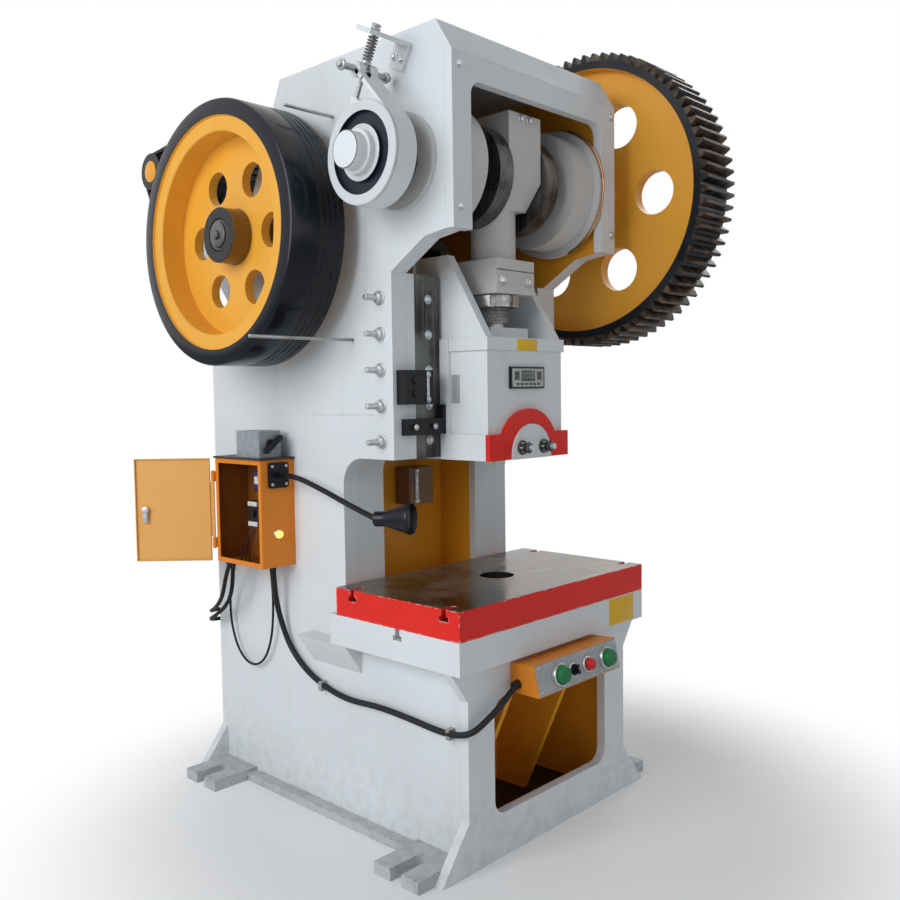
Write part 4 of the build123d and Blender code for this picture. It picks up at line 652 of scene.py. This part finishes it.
# The brake band is a steel strap, lined inside and painted grey. It leaves the drum at the front
# and runs straight up to a forked eye on the cross pin.
# Its other end carries the lug that the pull rod stands in.
def add_block(mesh, spot, size, edge=0.0):
    """A box about a matrix's origin, with its edges bevelled."""
    made = bmesh.ops.create_cube(mesh, size=1.0, matrix=spot @ Matrix.Diagonal((*size, 1.0)))
    if edge:
        bevelled(mesh, list({side for vert in made["verts"] for side in vert.link_edges}), edge)


band_front_x = drum_front_x + 0.010
band_rear_x = drum_rear_x - 0.002
rod_middle_x = (band_front_x + band_rear_x) / 2
band_inner = drum_radius + 0.0003
band_middle = band_inner + 0.006
band_outer = band_inner + 0.012
rod_lean = radians(27.0)
rod_up = Vector((0.0, -sin(rod_lean), cos(rod_lean)))
rod_side = Vector((0.0, cos(rod_lean), sin(rod_lean)))
brake_pin = Vector((rod_middle_x, 0.028, crank_z + 0.230))
leave_turn = radians(138.25)
end_turn = radians(440.0)
leave_out = Vector((0.0, cos(leave_turn), sin(leave_turn)))
strap_way = Vector((0.0, sin(leave_turn), -cos(leave_turn)))
strap_turns = [leave_turn + (end_turn - leave_turn) * step / 72 for step in range(73)]
strap_length = 0.150
strap_ends = [(leave_out * reach + strap_way * strap_length) for reach in (band_inner, band_outer)]
strap_outline = arc(band_outer, strap_turns) + arc(band_inner, strap_turns)[::-1]
strap_outline += [(end.y, end.z) for end in strap_ends]
strap = bmesh.new()
add_plate(strap, across_x(band_front_x, 0, crank_z), [strap_outline], band_rear_x - band_front_x)
fork_gap = 0.022
fork_width = (band_rear_x - band_front_x - fork_gap) / 2
arm_turn = Matrix.Rotation(leave_turn - pi / 2, 4, "X")
for fork_x in (band_front_x, band_rear_x - fork_width):
    eye_spot = facing((fork_x, brake_pin.y, brake_pin.z), to_right)
    add_drum(strap, eye_spot, 0.021, fork_width, segments=36, edge=0.001)
    arm_middle = Vector((fork_x + fork_width / 2, 0.0, crank_z)) + leave_out * band_middle
    arm_spot = Matrix.Translation(arm_middle + strap_way * (strap_length + 0.015)) @ arm_turn
    add_block(strap, arm_spot, (fork_width, 0.040, 0.012))
lug_half = 0.014
lug_foot = brake_pin - rod_up * 0.070
lug_outline = arc(band_middle, (radians(56.0), radians(80.0)))
for side in (-1, 1):
    lug_corner = lug_foot + rod_side * (side * lug_half)
    lug_outline += [(lug_corner.y, lug_corner.z - crank_z)]
add_plate(strap, across_x(rod_middle_x - lug_half, 0, crank_z), [lug_outline], 2 * lug_half)
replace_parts(piece_of("brake_strap", strap, frame_enamel, "frame"), "brake_band")

# The brake's bracket is a steel angle in frame grey that leans with the pull rod.
# Two screws hold its foot on the wall.
bracket_turn = Matrix.Rotation(rod_lean, 4, "X")
bracket = bmesh.new()
for lift, out, size, edge in (
    (0.102, 0.0775, (0.155, 0.060, 0.012), 0.001),
    (0.068, 0.006, (0.0116, 0.0584, 0.0764), 0.0008),
):
    bracket_place = brake_pin + rod_up * lift + Vector((left_wall_x - out - rod_middle_x, 0, 0))
    add_block(bracket, Matrix.Translation(bracket_place) @ bracket_turn, size, edge)
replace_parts(piece_of("brake_angle", bracket, frame_enamel, "frame"), "brake_bracket")

# The cross pin is turned steel and sits in the band's eye, with a collar at each end.
# A threaded steel rod leans through it, with a coil spring under the bracket and lock nuts on top.
pin_half = 0.093
cross_pin = bmesh.new()
add_drum(cross_pin, facing(brake_pin - Vector((pin_half, 0, 0)), to_right), 0.009, 2 * pin_half, edge=0.001)
for end in (-1, 1):
    collar = brake_pin + Vector((end * (pin_half - 0.018), 0, 0))
    add_drum(cross_pin, facing(collar, (end, 0, 0)), 0.015, 0.008, edge=0.001)
pull_rod = bmesh.new()
rod_loop = [(0.0, 0.0)] + ridges(0.0070, 0.0008, 0.0022, 89) + [(0.0, 0.1958)]
add_lathe(pull_rod, facing(brake_pin - rod_up * 0.0698, rod_up), rod_loop, 14)
for start in (0.108, 0.117):
    add_drum(pull_rod, facing(brake_pin + rod_up * start, rod_up), 0.013, 0.008, segments=6, edge=0.0012)
add_drum(pull_rod, facing(brake_pin + rod_up * 0.022, rod_up), 0.015, 0.004, edge=0.0006)
add_screw(pull_rod, brake_pin + Vector((0, 0, 0.010)), rod_up, 0.011)
coil = bmesh.new()
coil_start = brake_pin + rod_up * 0.028
coil_spot = facing(coil_start + Vector((0.0122, 0, 0)), Vector(to_right).cross(rod_up))
coil_wire = bmesh.ops.create_circle(coil, cap_ends=True, segments=8, radius=0.0024, matrix=coil_spot)["verts"]
coil_edges = list({edge for vert in coil_wire for edge in vert.link_edges})
coil_faces = list({face for vert in coil_wire for face in vert.link_faces})
coil_turns = 8
coil_steps = 20 * coil_turns
bmesh.ops.spin(coil, geom=coil_wire[:] + coil_edges + coil_faces, cent=coil_start, axis=rod_up,
               dvec=rod_up * (0.065 / coil_steps), angle=2 * pi * coil_turns, steps=coil_steps,
               use_merge=False, use_duplicate=False)
for mesh, name, finish in (
    (cross_pin, "brake_cross_pin", bright_steel),
    (pull_rod, "brake_pull_rod", bright_steel),
    (coil, "brake_coil", oily_steel),
):
    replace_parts(piece_of(name, mesh, finish, "frame"), "brake_spring_rod")
bracket_screws = bmesh.new()
bracket_foot = brake_pin + rod_up * 0.060
foot_face = Vector((left_wall_x - 0.012 - rod_middle_x, 0, 0))
for share in (-0.016, 0.016):
    add_screw(bracket_screws, bracket_foot + rod_side * share + foot_face, to_left, 0.0085)
piece_of("bracket_screws", bracket_screws, zinc, "frame")


# The connecting rod is a steel casting painted grey, darkened with the crank bearings as painted shadow from
# the head above. Two screws close the head's cap.
# Two more pinch the split block on the adjusting screw, which is turned, with a ball foot and a ring nut.
def block_piece(name, blocks, edge, material, body):
    """A piece made of square blocks, each a middle and a size."""
    mesh = bmesh.new()
    for place, size in blocks:
        add_block(mesh, Matrix.Translation(place), size, edge)
    return piece_of(name, mesh, material, body)


# Painted shadow: a darker, warmer grey than the frame's for the rod and the crank bearings, which lie in the
# head's shadow.
head_shadow_enamel = enamel("head_shadow_enamel", (0.60, 0.59, 0.575), frame_grime)
dress("connecting_rod", head_shadow_enamel)
dress("crank_bearings", head_shadow_enamel)
rod_screws = bmesh.new()
for side in (-1, 1):
    add_screw(rod_screws, (side * 0.020, -0.131, 2.152), to_front, 0.010)
    add_screw(rod_screws, (side * 0.062, -0.090, 1.676), to_front, 0.012)
piece_of("rod_screws", rod_screws, zinc, "rod")
split_block = ((0.0, -0.0900, 1.708), (0.1796, 0.0012, 0.0035))
block_piece("rod_split", [split_block], 0.0, oily_steel, "rod")
screw_low, screw_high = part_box("adjusting_screw")
ball_radius = 0.052
ball_z = screw_low[2] + ball_radius
thread_z = 1.553
screw_loop = arc(ball_radius, [radians(-90.0 + 10.0 * step) for step in range(14)], 0.0, ball_z)
screw_loop += [(0.034, ball_z + 0.0395), (0.034, thread_z)] + ridges(0.0500, 0.0035, 0.0045, 52, thread_z)
screw_loop += [(0.046, screw_high[2]), (0.0, screw_high[2])]
screw = bmesh.new()
add_lathe(screw, Matrix.Identity(4), screw_loop, 40)
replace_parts(piece_of("die_height_screw", screw, bright_steel, "rod"), "adjusting_screw")
nut_outline = []
for notch in range(8):
    nut_outline += arc(0.080, [radians(45.0 * notch + degrees) for degrees in (0.0, 8.0, 16.0, 24.0, 32.0)])
    nut_outline += arc(0.071, [radians(45.0 * notch + degrees) for degrees in (33.0, 44.0)])
ring_nut = bmesh.new()
add_plate(ring_nut, Matrix.Translation((0.0, 0.0, 1.600)), [nut_outline, circle(0.045, 0.0, 0.0, 40)], 0.036)
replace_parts(piece_of("ring_nut", ring_nut, bright_steel, "rod"), "adjusting_screw")

# The ram is a planed iron casting in frame grey, with the die clamp's arch across its foot in red enamel.
# Two studs with double nuts pull the clamp against the shank.
red_enamel = enamel("red_enamel", red_colour, red_grime, rough=0.26)
dress("ram", frame_enamel)
dress("ball_cap", frame_enamel)
dress("die_clamp_cap", red_enamel)
dress("shank_clamp", frame_enamel)
clamp_nuts = bmesh.new()
stud_loop = [(0.0, 0.0)] + ridges(0.0098, 0.0012, 0.0024, 19) + [(0.0, 0.0438)]
for stud_x in (-0.052, 0.052):
    stud_spot = facing((stud_x, -0.151, 1.172), to_front)
    lock_spot = facing((stud_x, -0.1740, 1.172), to_front)
    add_lathe(clamp_nuts, stud_spot, stud_loop, 16)
    add_drum(clamp_nuts, stud_spot, 0.0220, 0.004, edge=0.0006)
    add_drum(clamp_nuts, stud_spot, 0.0188, 0.0178, segments=6, edge=0.0018)
    add_drum(clamp_nuts, lock_spot, 0.0170, 0.010, segments=6, edge=0.0016)
piece_of("clamp_nuts", clamp_nuts, oily_steel, "ram")

# Bare plates of yellow sheet are glued to the ram's ledge and the bed's front.
# A grey one is glued to the ram's side.
plate_yellow = enamel("plate_yellow", (0.80, 0.47, 0.015), (0.25, 0.16, 0.04), rough=0.34)
plate_grey = enamel("plate_grey", (0.36, 0.38, 0.40), (0.16, 0.15, 0.14), rough=0.40)
ram_plate_block = ((-0.001, -0.1335, 1.481), (0.096, 0.0016, 0.034))
side_plate_block = ((-0.1785, 0.0005, 1.3505), (0.0030, 0.031, 0.085))
bed_plate_block = ((0.326, -0.2543, 0.6255), (0.140, 0.0016, 0.085))
block_piece("ram_plate", [ram_plate_block], 0.0004, plate_yellow, "ram")
block_piece("side_plate", [side_plate_block], 0.0005, plate_grey, "ram")
block_piece("bed_plate", [bed_plate_block], 0.0004, plate_yellow, "frame")


# The moulded fittings are black plastic with a fine grain: the counter's case, the limit switch,
# the isolator's lever and the selector.
def moulded(name, colour, rough):
    """Moulded plastic with a fine spark-eroded grain and softened edges."""
    material = new_material(name)
    tree, shader, place = parts_of(material)
    darker = tuple(value * 0.85 for value in colour)
    tone = blend_colour(tree, speckle(tree, place, 60.0, 4.0, 0.35, 0.65), darker, colour)
    feed(tree, shader["Base Color"], tone)
    feed(tree, shader["Roughness"], uneven_gloss(tree, place, 40.0, 4.0, rough - 0.05, rough + 0.10))
    shader["Specular IOR Level"].default_value = 0.28
    feed(tree, shader["Normal"], ripple(tree, place, 900.0, 0.10, 0.0003, rounded_edges(tree, 0.0015)))
    return material


black_plastic = moulded("black_plastic", (0.008, 0.008, 0.010), 0.36)
for piece in ("counter_display", "limit_switch_set", "isolator_lever", "selector_knob"):
    dress(piece, black_plastic)

# The counter has a silver plastic face in a black rim, and a grey window with four plain digits.
# A row of small grey keys is moulded below the window.
face_silver = moulded("face_silver", (0.50, 0.50, 0.49), 0.38)
window_grey = moulded("window_grey", (0.075, 0.090, 0.095), 0.22)
counter_low, counter_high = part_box("counter_display")
counter_y = counter_low[1]
counter_z = (counter_low[2] + counter_high[2]) / 2
window_z = counter_z + 0.006
face_block = ((0.0, counter_y - 0.0003, counter_z), (0.150, 0.0014, 0.055))
block_piece("counter_face", [face_block], 0.0004, face_silver, "ram")
counter_keys = bmesh.new()
window_spot = Matrix.Translation((0.0, counter_y - 0.0010, window_z))
add_block(counter_keys, window_spot, (0.066, 0.0012, 0.032), 0.0004)
for number in range(6):
    key_spot = Matrix.Translation((-0.050 + 0.020 * number, counter_y - 0.0012, counter_z - 0.019))
    add_block(counter_keys, key_spot, (0.013, 0.0018, 0.007), 0.0004)
for side in (-1, 1):
    panel_spot = Matrix.Translation((side * 0.054, counter_y - 0.0008, window_z))
    add_block(counter_keys, panel_spot, (0.024, 0.0008, 0.026))
piece_of("counter_keys", counter_keys, window_grey, "ram")
digit_blocks = []
digit_y = counter_y - 0.0017
for number in range(4):
    digit_x = -0.0225 + 0.015 * number
    for side in (-1, 1):
        digit_blocks += [((digit_x, digit_y, window_z + side * 0.0085), (0.0085, 0.0006, 0.0018))]
        for half in (-1, 1):
            bar_place = (digit_x + side * 0.0042, digit_y, window_z + half * 0.0043)
            digit_blocks += [(bar_place, (0.0018, 0.0006, 0.0070))]
block_piece("counter_digits", digit_blocks, 0.0, face_silver, "ram")

# The limit switch has two round covers of black plastic.
# A bright steel strip clamps it, with a screw at each end, and two more screws hold its foot.
switch_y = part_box("limit_switch_set")[0][1]
switch_covers = bmesh.new()
for cover_z in (1.338, 1.377):
    cover_spot = facing((-0.326, switch_y, cover_z), to_front)
    add_drum(switch_covers, cover_spot, 0.0125, 0.004, segments=32, edge=0.001)
piece_of("switch_covers", switch_covers, black_plastic, "frame")
switch_strip = bmesh.new()
add_block(switch_strip, Matrix.Translation((-0.276, switch_y - 0.001, 1.357)), (0.010, 0.004, 0.092), 0.0008)
for end in (-1, 1):
    add_screw(switch_strip, (-0.276, switch_y - 0.003, 1.357 + end * 0.036), to_front, 0.006)
    add_screw(switch_strip, (-0.285 + end * 0.040, switch_y + 0.001, 1.240), to_front, 0.006)
piece_of("switch_strip", switch_strip, bright_steel, "frame")

# The control cabinet is folded from sheet and sprayed orange, with its door swung open on two hinge knuckles.
# Its inside faces are painted dark brown as painted shade. The isolator on its lid is moulded in grey, dark
# below its cover.
cabinet_enamel = enamel("cabinet_enamel", (0.76, 0.235, 0.018), orange_grime, rough=0.30, grime_top=0.0)
tree, shader, place = parts_of(cabinet_enamel)
cabinet_low, cabinet_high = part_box("cabinet_box")
cabinet_face_x = left_wall_x - 0.130
cabinet_rear_y = cabinet_low[1] + 0.257
# Painted shade: the faces inside the cabinet are painted dark brown.
inside_shade_mask = 1.0
for axis, start, end in (
    ("X", cabinet_face_x + 0.0014, cabinet_face_x + 0.0018),
    ("Y", cabinet_low[1] + 0.0010, cabinet_low[1] + 0.0014),
    ("Z", cabinet_low[2] + 0.0010, cabinet_low[2] + 0.0014),
    ("Y", cabinet_rear_y - 0.0010, cabinet_rear_y - 0.0014),
):
    inside_shade_mask = product(tree, above(tree, place, axis, start, end), inside_shade_mask)
overpaint(tree, shader, inside_shade_mask, (0.21, 0.062, 0.010))
dress("cabinet_box", cabinet_enamel)
dress("cabinet_door", enamel("door_enamel", (0.78, 0.40, 0.11), orange_grime, rough=0.34, grime_top=0.0))
dress("control_box", enamel("box_enamel", (0.76, 0.25, 0.02), orange_grime, rough=0.30, grime_top=0.0))
grey_plastic = moulded("grey_plastic", (0.30, 0.325, 0.35), 0.42)
tree, shader, place = parts_of(grey_plastic)
lid_top = cabinet_high[2] + 0.006
lid_mask = above(tree, place, "Z", lid_top + 0.0008, lid_top + 0.0003)
overpaint(tree, shader, lid_mask, (0.030, 0.027, 0.025))
dress("isolator_box", grey_plastic)


# The contactor has pale terminal strips, and the relay above it is blue with a pale face, all moulded.
# Thin leads drop from them to the cabinet's floor. The door's latch is a bright steel cam on a round boss.
def add_tube(mesh, points, radius, sides=12):
    """A round tube along points, closed at both ends."""
    places = [Vector(point) for point in points]
    rings = []
    for number, place in enumerate(places):
        way = places[min(number + 1, len(places) - 1)] - places[max(number - 1, 0)]
        spot = facing(place, way)
        ring = circle(radius, 0.0, 0.0, sides)
        rings.append([mesh.verts.new(spot @ Vector((first, second, 0.0))) for first, second in ring])
    for first, second in zip(rings, rings[1:]):
        for side in range(sides):
            mesh.faces.new((first[side - 1], first[side], second[side], second[side - 1]))
    mesh.faces.new(rings[0])
    mesh.faces.new(rings[-1])


def smooth_route(points, steps):
    """Points along a smooth curve that a route's points pull into shape."""
    middles = [Vector(first).lerp(Vector(second), 0.5) for first, second in zip(points, points[1:])]
    placed = [Vector(points[0])]
    for number in range(1, len(points) - 1):
        for step in range(steps):
            share = step / steps
            early = middles[number - 1].lerp(Vector(points[number]), share)
            late = Vector(points[number]).lerp(middles[number], share)
            placed.append(early.lerp(late, share))
    return placed + [middles[-1], Vector(points[-1])]


dress("control_devices", black_plastic)
devices_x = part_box("control_devices")[0][0]
terminal_white = moulded("terminal_white", (0.66, 0.65, 0.62), 0.40)
relay_blue = moulded("relay_blue", (0.020, 0.045, 0.20), 0.40)
terminal_blocks = [((devices_x - 0.001, 0.650, strip_z), (0.008, 0.050, 0.015)) for strip_z in (0.917, 0.983)]
terminal_blocks += [((-0.452, 0.640, 1.060), (0.008, 0.036, 0.026))]
relay_blocks = [((-0.4515, 0.640, cover_z), (0.006, 0.044, 0.016)) for cover_z in (1.039, 1.081)]
button_block = ((devices_x - 0.002, 0.650, 0.950), (0.010, 0.018, 0.022))
block_piece("terminals", terminal_blocks, 0.001, terminal_white, "frame")
block_piece("relay_cover", relay_blocks, 0.001, relay_blue, "frame")
block_piece("device_button", [button_block], 0.0015, black_plastic, "frame")
thin_leads = bmesh.new()
for lead_y, foot_y in ((0.632, 0.668), (0.645, 0.690), (0.660, 0.712)):
    drop = ((devices_x - 0.002, lead_y, 0.912), (devices_x - 0.010, lead_y + 0.004, 0.880))
    drop += ((devices_x - 0.008, foot_y, 0.845), (devices_x - 0.004, foot_y + 0.006, 0.790))
    add_tube(thin_leads, smooth_route(drop, 8), 0.0024)
piece_of("thin_leads", thin_leads, moulded("lead_brown", (0.055, 0.014, 0.010), 0.5), "frame")
door_turn = radians(136.5)
door_along = Vector((-sin(door_turn), -cos(door_turn), 0.0))
door_out = Vector((-cos(door_turn), sin(door_turn), 0.0))
latch_place = Vector((-0.521, 0.799, 0.959)) + door_along * 0.229
latch_turn = Matrix((door_along, (0.0, 0.0, 1.0), door_out)).transposed().to_4x4()
latch = bmesh.new()
cam_place = latch_place + Vector((0.0, 0.0, -0.020)) - door_out * 0.0070
add_block(latch, Matrix.Translation(cam_place) @ latch_turn, (0.0165, 0.0425, 0.0045), 0.001)
add_drum(latch, facing(latch_place - door_out * 0.0045, -door_out), 0.0125, 0.0060, segments=28, edge=0.001)
piece_of("latch_cam", latch, bright_steel, "door")

# The control panel is moulded in grey, with two green buttons and a red one that stand in plated collars.
# A screw holds each corner, and the selector has a pale mark.
dress("control_panel", moulded("panel_grey", (0.42, 0.44, 0.45), 0.40))
button_green = moulded("button_green", (0.012, 0.19, 0.055), 0.25)
dress("left_start_button", button_green)
dress("right_start_button", button_green)
dress("stop_button", moulded("button_red", (0.62, 0.022, 0.026), 0.25))
panel_place = Vector((0.0, -0.318, 0.5215))
panel_out = Vector((0.0, -0.97669, 0.21466))
panel_up = Vector((0.0, 0.21466, 0.97669))
panel_front = panel_place + panel_out * 0.0030
selector_x = -0.036
collars = bmesh.new()
for collar_x, inner, outer, collar_height in (
    (-0.102, 0.0287, 0.0345, 0.013),
    (0.132, 0.0287, 0.0345, 0.013),
    (0.038, 0.0197, 0.0248, 0.007),
    (selector_x, 0.0172, 0.0212, 0.007),
):
    collar_spot = facing(panel_front - panel_up * 0.0013 + Vector((collar_x, 0.0, 0.0)), panel_out)
    collar_loop = [(inner, 0.0), (outer, 0.0), (outer, collar_height * 0.6), (outer - 0.002, collar_height)]
    add_lathe(collars, collar_spot, collar_loop + [(inner, collar_height), (inner, 0.0)], 40)
for side in (-1, 1):
    for end in (-1, 1):
        corner = panel_front + Vector((side * 0.188, 0.0, 0.0)) + panel_up * (end * 0.034)
        add_drum(collars, facing(corner, panel_out), 0.0040, 0.0018, segments=20, edge=0.0006)
piece_of("collars", collars, zinc, "frame")
pointer = bmesh.new()
pointer_turn = Matrix((to_right, panel_up, panel_out)).transposed().to_4x4()
pointer_place = panel_place + panel_out * 0.0287 + Vector((selector_x, 0.0, 0.0)) + panel_up * 0.004
add_block(pointer, Matrix.Translation(pointer_place) @ pointer_turn, (0.0028, 0.0130, 0.0012))
piece_of("selector_mark", pointer, terminal_white, "selector")

# The work lamp is pressed steel in black, on a gooseneck that is screwed to the cabinet's front.
# The pilot lamp below it is lit, in a plated bezel.
lamp_black = enamel("lamp_black", (0.005, 0.006, 0.009), (0.02, 0.02, 0.02), rough=0.28, grime_top=0.0)
dress("lamp_flange", lamp_black)
lamp_route = ((-0.450, 0.527, 1.083), (-0.450, 0.440, 1.083), (-0.448, 0.315, 1.050))
lamp_route += ((-0.445, 0.190, 1.010), (-0.440, 0.080, 0.978))
gooseneck = bmesh.new()
add_tube(gooseneck, smooth_route(lamp_route, 12), 0.0085, sides=16)
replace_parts(piece_of("gooseneck", gooseneck, lamp_black, "frame"), "lamp_neck")
lamp_aim = Vector((0.45, -0.89, 0.03)).normalized()
lamp_loop = [(0.0, 0.0), (0.0190, 0.0), (0.0220, 0.003), (0.0220, 0.030), (0.0235, 0.036), (0.0420, 0.098)]
lamp_loop += [(0.0455, 0.106), (0.0460, 0.112), (0.0445, 0.116)]
lamp_loop += [(0.0425, 0.114), (0.0400, 0.104), (0.0, 0.104)]
shade = bmesh.new()
add_lathe(shade, facing(Vector(lamp_route[-1]) - lamp_aim * 0.004, lamp_aim), lamp_loop, 48)
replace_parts(piece_of("lamp_shade", shade, lamp_black, "frame"), "lamp_head")
lamp_fittings = bmesh.new()
flange_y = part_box("lamp_flange")[0][1]
for side in (-1, 1):
    for end in (-1, 1):
        flange_spot = facing((-0.450 + side * 0.027, flange_y, 1.083 + end * 0.029), to_front)
        add_drum(lamp_fittings, flange_spot, 0.0050, 0.003, segments=20, edge=0.001)
pilot_spot = facing((-0.454, cabinet_low[1], 0.892), to_front)
pilot_loop = [(0.0123, 0.0), (0.0170, 0.0), (0.0170, 0.002), (0.0150, 0.005), (0.0123, 0.005), (0.0123, 0.0)]
add_lathe(lamp_fittings, pilot_spot, pilot_loop, 32)
piece_of("lamp_fittings", lamp_fittings, zinc, "frame")
pilot_lens = moulded("pilot_lens", (0.95, 0.42, 0.06), 0.2)
pilot_shader = parts_of(pilot_lens)[1]
pilot_shader["Emission Color"].default_value = (1.0, 0.50, 0.12, 1.0)
pilot_shader["Emission Strength"].default_value = 1.6
dress("pilot_lamp", pilot_lens)

# The motor is a finned iron casting in black, bolted on with its pulley, whose hub is orange.
# The belts are black rubber.
motor_enamel = enamel("motor_enamel", (0.02, 0.022, 0.027), (0.06, 0.055, 0.05), rough=0.38)
dress("motor_body", motor_enamel)
dress("motor_pulley", motor_enamel)
pulley_low, pulley_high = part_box("motor_pulley")
motor_y = (pulley_low[1] + pulley_high[1]) / 2
motor_z = (pulley_low[2] + pulley_high[2]) / 2
pulley_hub = bmesh.new()
pulley_spot = facing((pulley_low[0] + 0.001, motor_y, motor_z), to_left)
add_drum(pulley_hub, pulley_spot, 0.036, 0.003, segments=40, edge=0.0008)
piece_of("pulley_hub", pulley_hub, orange_enamel, "motor_rotor")
motor_fins = bmesh.new()
motor_middle = Matrix.Translation((-0.245, motor_y, motor_z))
fin_reach = Matrix.Translation((0.0, 0.121, 0.0))
for degrees in range(0, 360, 12):
    if min(degrees, 360 - degrees) > 24 and abs(degrees - 90) > 30 and abs(degrees - 270) > 40:
        fin_spot = motor_middle @ Matrix.Rotation(radians(degrees), 4, "X") @ fin_reach
        add_block(motor_fins, fin_spot, (0.255, 0.014, 0.004), 0.0008)
piece_of("motor_fins", motor_fins, motor_enamel, "frame")
rubber = moulded("rubber", (0.009, 0.009, 0.010), 0.52)
dress("drive_belts", rubber)

# The lubricator is a small brown oil tank with a bright sight tube on its front.
# A copper pipe carries its oil round the bearing, and bright clips hold the cables on the wall.
dress("lubricator", moulded("oiler_body", (0.22, 0.135, 0.075), 0.30))
oiler_low, oiler_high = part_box("lubricator")
tube_length = oiler_high[2] - oiler_low[2] - 0.020
oiler_tube = bmesh.new()
for start_z, radius, height, edge in (
    (oiler_low[2] + 0.010, 0.0094, tube_length, 0.001),
    (oiler_low[2] + 0.004, 0.0130, 0.014, 0.002),
    (oiler_high[2] - 0.018, 0.0130, 0.014, 0.002),
):
    tube_spot = Matrix.Translation((0.0185, oiler_low[1] + 0.009, start_z))
    add_drum(oiler_tube, tube_spot, radius, height, edge=edge)
piece_of("oiler_tube", oiler_tube, bright_steel, "frame")
dress("oil_pipes", bare_steel("copper", (0.60, 0.30, 0.16), (0.22, 0.11, 0.06), 0.30, (40.0, 40.0, 40.0)))
dress("cable_clips", bright_steel)


# The cables are black rubber-sheathed leads in plastic glands. One runs from the cabinet's floor along
# the wall to the control box, two go round the rear corner to the back plate, and a thin one hangs slack.
def cable(name, route, radius):
    """A round lead along a smooth curve that its route's points pull into shape."""
    curve = bpy.data.curves.new(name, "CURVE")
    curve.dimensions = "3D"
    curve.bevel_depth = radius
    curve.bevel_resolution = 5
    curve.resolution_u = 8
    curve.use_fill_caps = True
    spline = curve.splines.new("NURBS")
    spline.points.add(len(route) - 1)
    for point, place in zip(spline.points, route):
        point.co = (*place, 1.0)
    spline.order_u = 3
    spline.use_endpoint_u = True
    lead = in_scene(name, curve)
    curve.materials.append(rubber)
    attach(lead, "frame")
    return lead


control_route = (
    (-0.440, 0.588, 0.785), (-0.438, 0.586, 0.730), (-0.428, 0.592, 0.665),
    (-0.412, 0.588, 0.590), (-0.400, 0.556, 0.505), (-0.398, 0.482, 0.446),
    (-0.398, 0.390, 0.411), (-0.398, 0.275, 0.391), (-0.398, 0.130, 0.402),
    (-0.398, -0.010, 0.396), (-0.398, -0.120, 0.387), (-0.406, -0.200, 0.396),
    (-0.398, -0.250, 0.412), (-0.330, -0.248, 0.434), (-0.270, -0.248, 0.462),
    (-0.228, -0.250, 0.492), (-0.203, -0.250, 0.503),
)
upper_route = (
    (-0.500, 0.745, 0.785), (-0.505, 0.765, 0.735), (-0.498, 0.790, 0.685),
    (-0.480, 0.840, 0.635), (-0.455, 0.920, 0.590), (-0.425, 0.995, 0.565),
    (-0.380, 1.024, 0.560), (-0.335, 1.012, 0.560), (-0.325, 0.994, 0.560),
)
lower_route = (
    (-0.470, 0.775, 0.785), (-0.468, 0.778, 0.720), (-0.455, 0.815, 0.650),
    (-0.445, 0.870, 0.600), (-0.440, 0.940, 0.560), (-0.425, 1.000, 0.535),
    (-0.385, 1.022, 0.525), (-0.340, 1.012, 0.525), (-0.330, 0.994, 0.525),
)
loop_route = (
    (-0.420, 0.632, 0.785), (-0.414, 0.628, 0.700), (-0.410, 0.634, 0.610),
    (-0.408, 0.650, 0.520), (-0.406, 0.690, 0.445), (-0.405, 0.745, 0.410),
    (-0.405, 0.805, 0.413), (-0.405, 0.858, 0.456), (-0.406, 0.887, 0.527),
    (-0.410, 0.889, 0.590), (-0.425, 0.860, 0.665), (-0.442, 0.815, 0.725),
    (-0.450, 0.786, 0.785),
)
wide_radius = 0.009
lead_radius = 0.007
loop_radius = 0.004
glands = bmesh.new()
for gland_route, gland_radius in (
    (control_route, wide_radius),
    (upper_route, lead_radius),
    (lower_route, lead_radius),
    (loop_route, loop_radius),
):
    for gland_place, gland_next in ((gland_route[0], gland_route[1]), (gland_route[-1], gland_route[-2])):
        gland_way = Vector(gland_next) - Vector(gland_place)
        widest = max(range(3), key=lambda number: abs(gland_way[number]))
        gland_way = Vector([gland_way[number] if number == widest else 0.0 for number in range(3)])
        gland_spot = facing(gland_place, gland_way)
        add_drum(glands, gland_spot, gland_radius + 0.0060, 0.008, segments=6, edge=0.001)
        neck_radius = gland_radius + 0.0015
        add_drum(glands, gland_spot, gland_radius + 0.0045, 0.022, edge=0.0008, top_radius=neck_radius)
piece_of("glands", glands, black_plastic, "frame")
control_lead = cable("control_lead", control_route, wide_radius)
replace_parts(control_lead, "control_cable")
upper_lead = cable("upper_lead", upper_route, lead_radius)
lower_lead = cable("lower_lead", lower_route, lead_radius)
slack_lead = cable("slack_lead", loop_route, loop_radius)
for lead in (upper_lead, lower_lead, slack_lead):
    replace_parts(lead, "cabinet_cables")
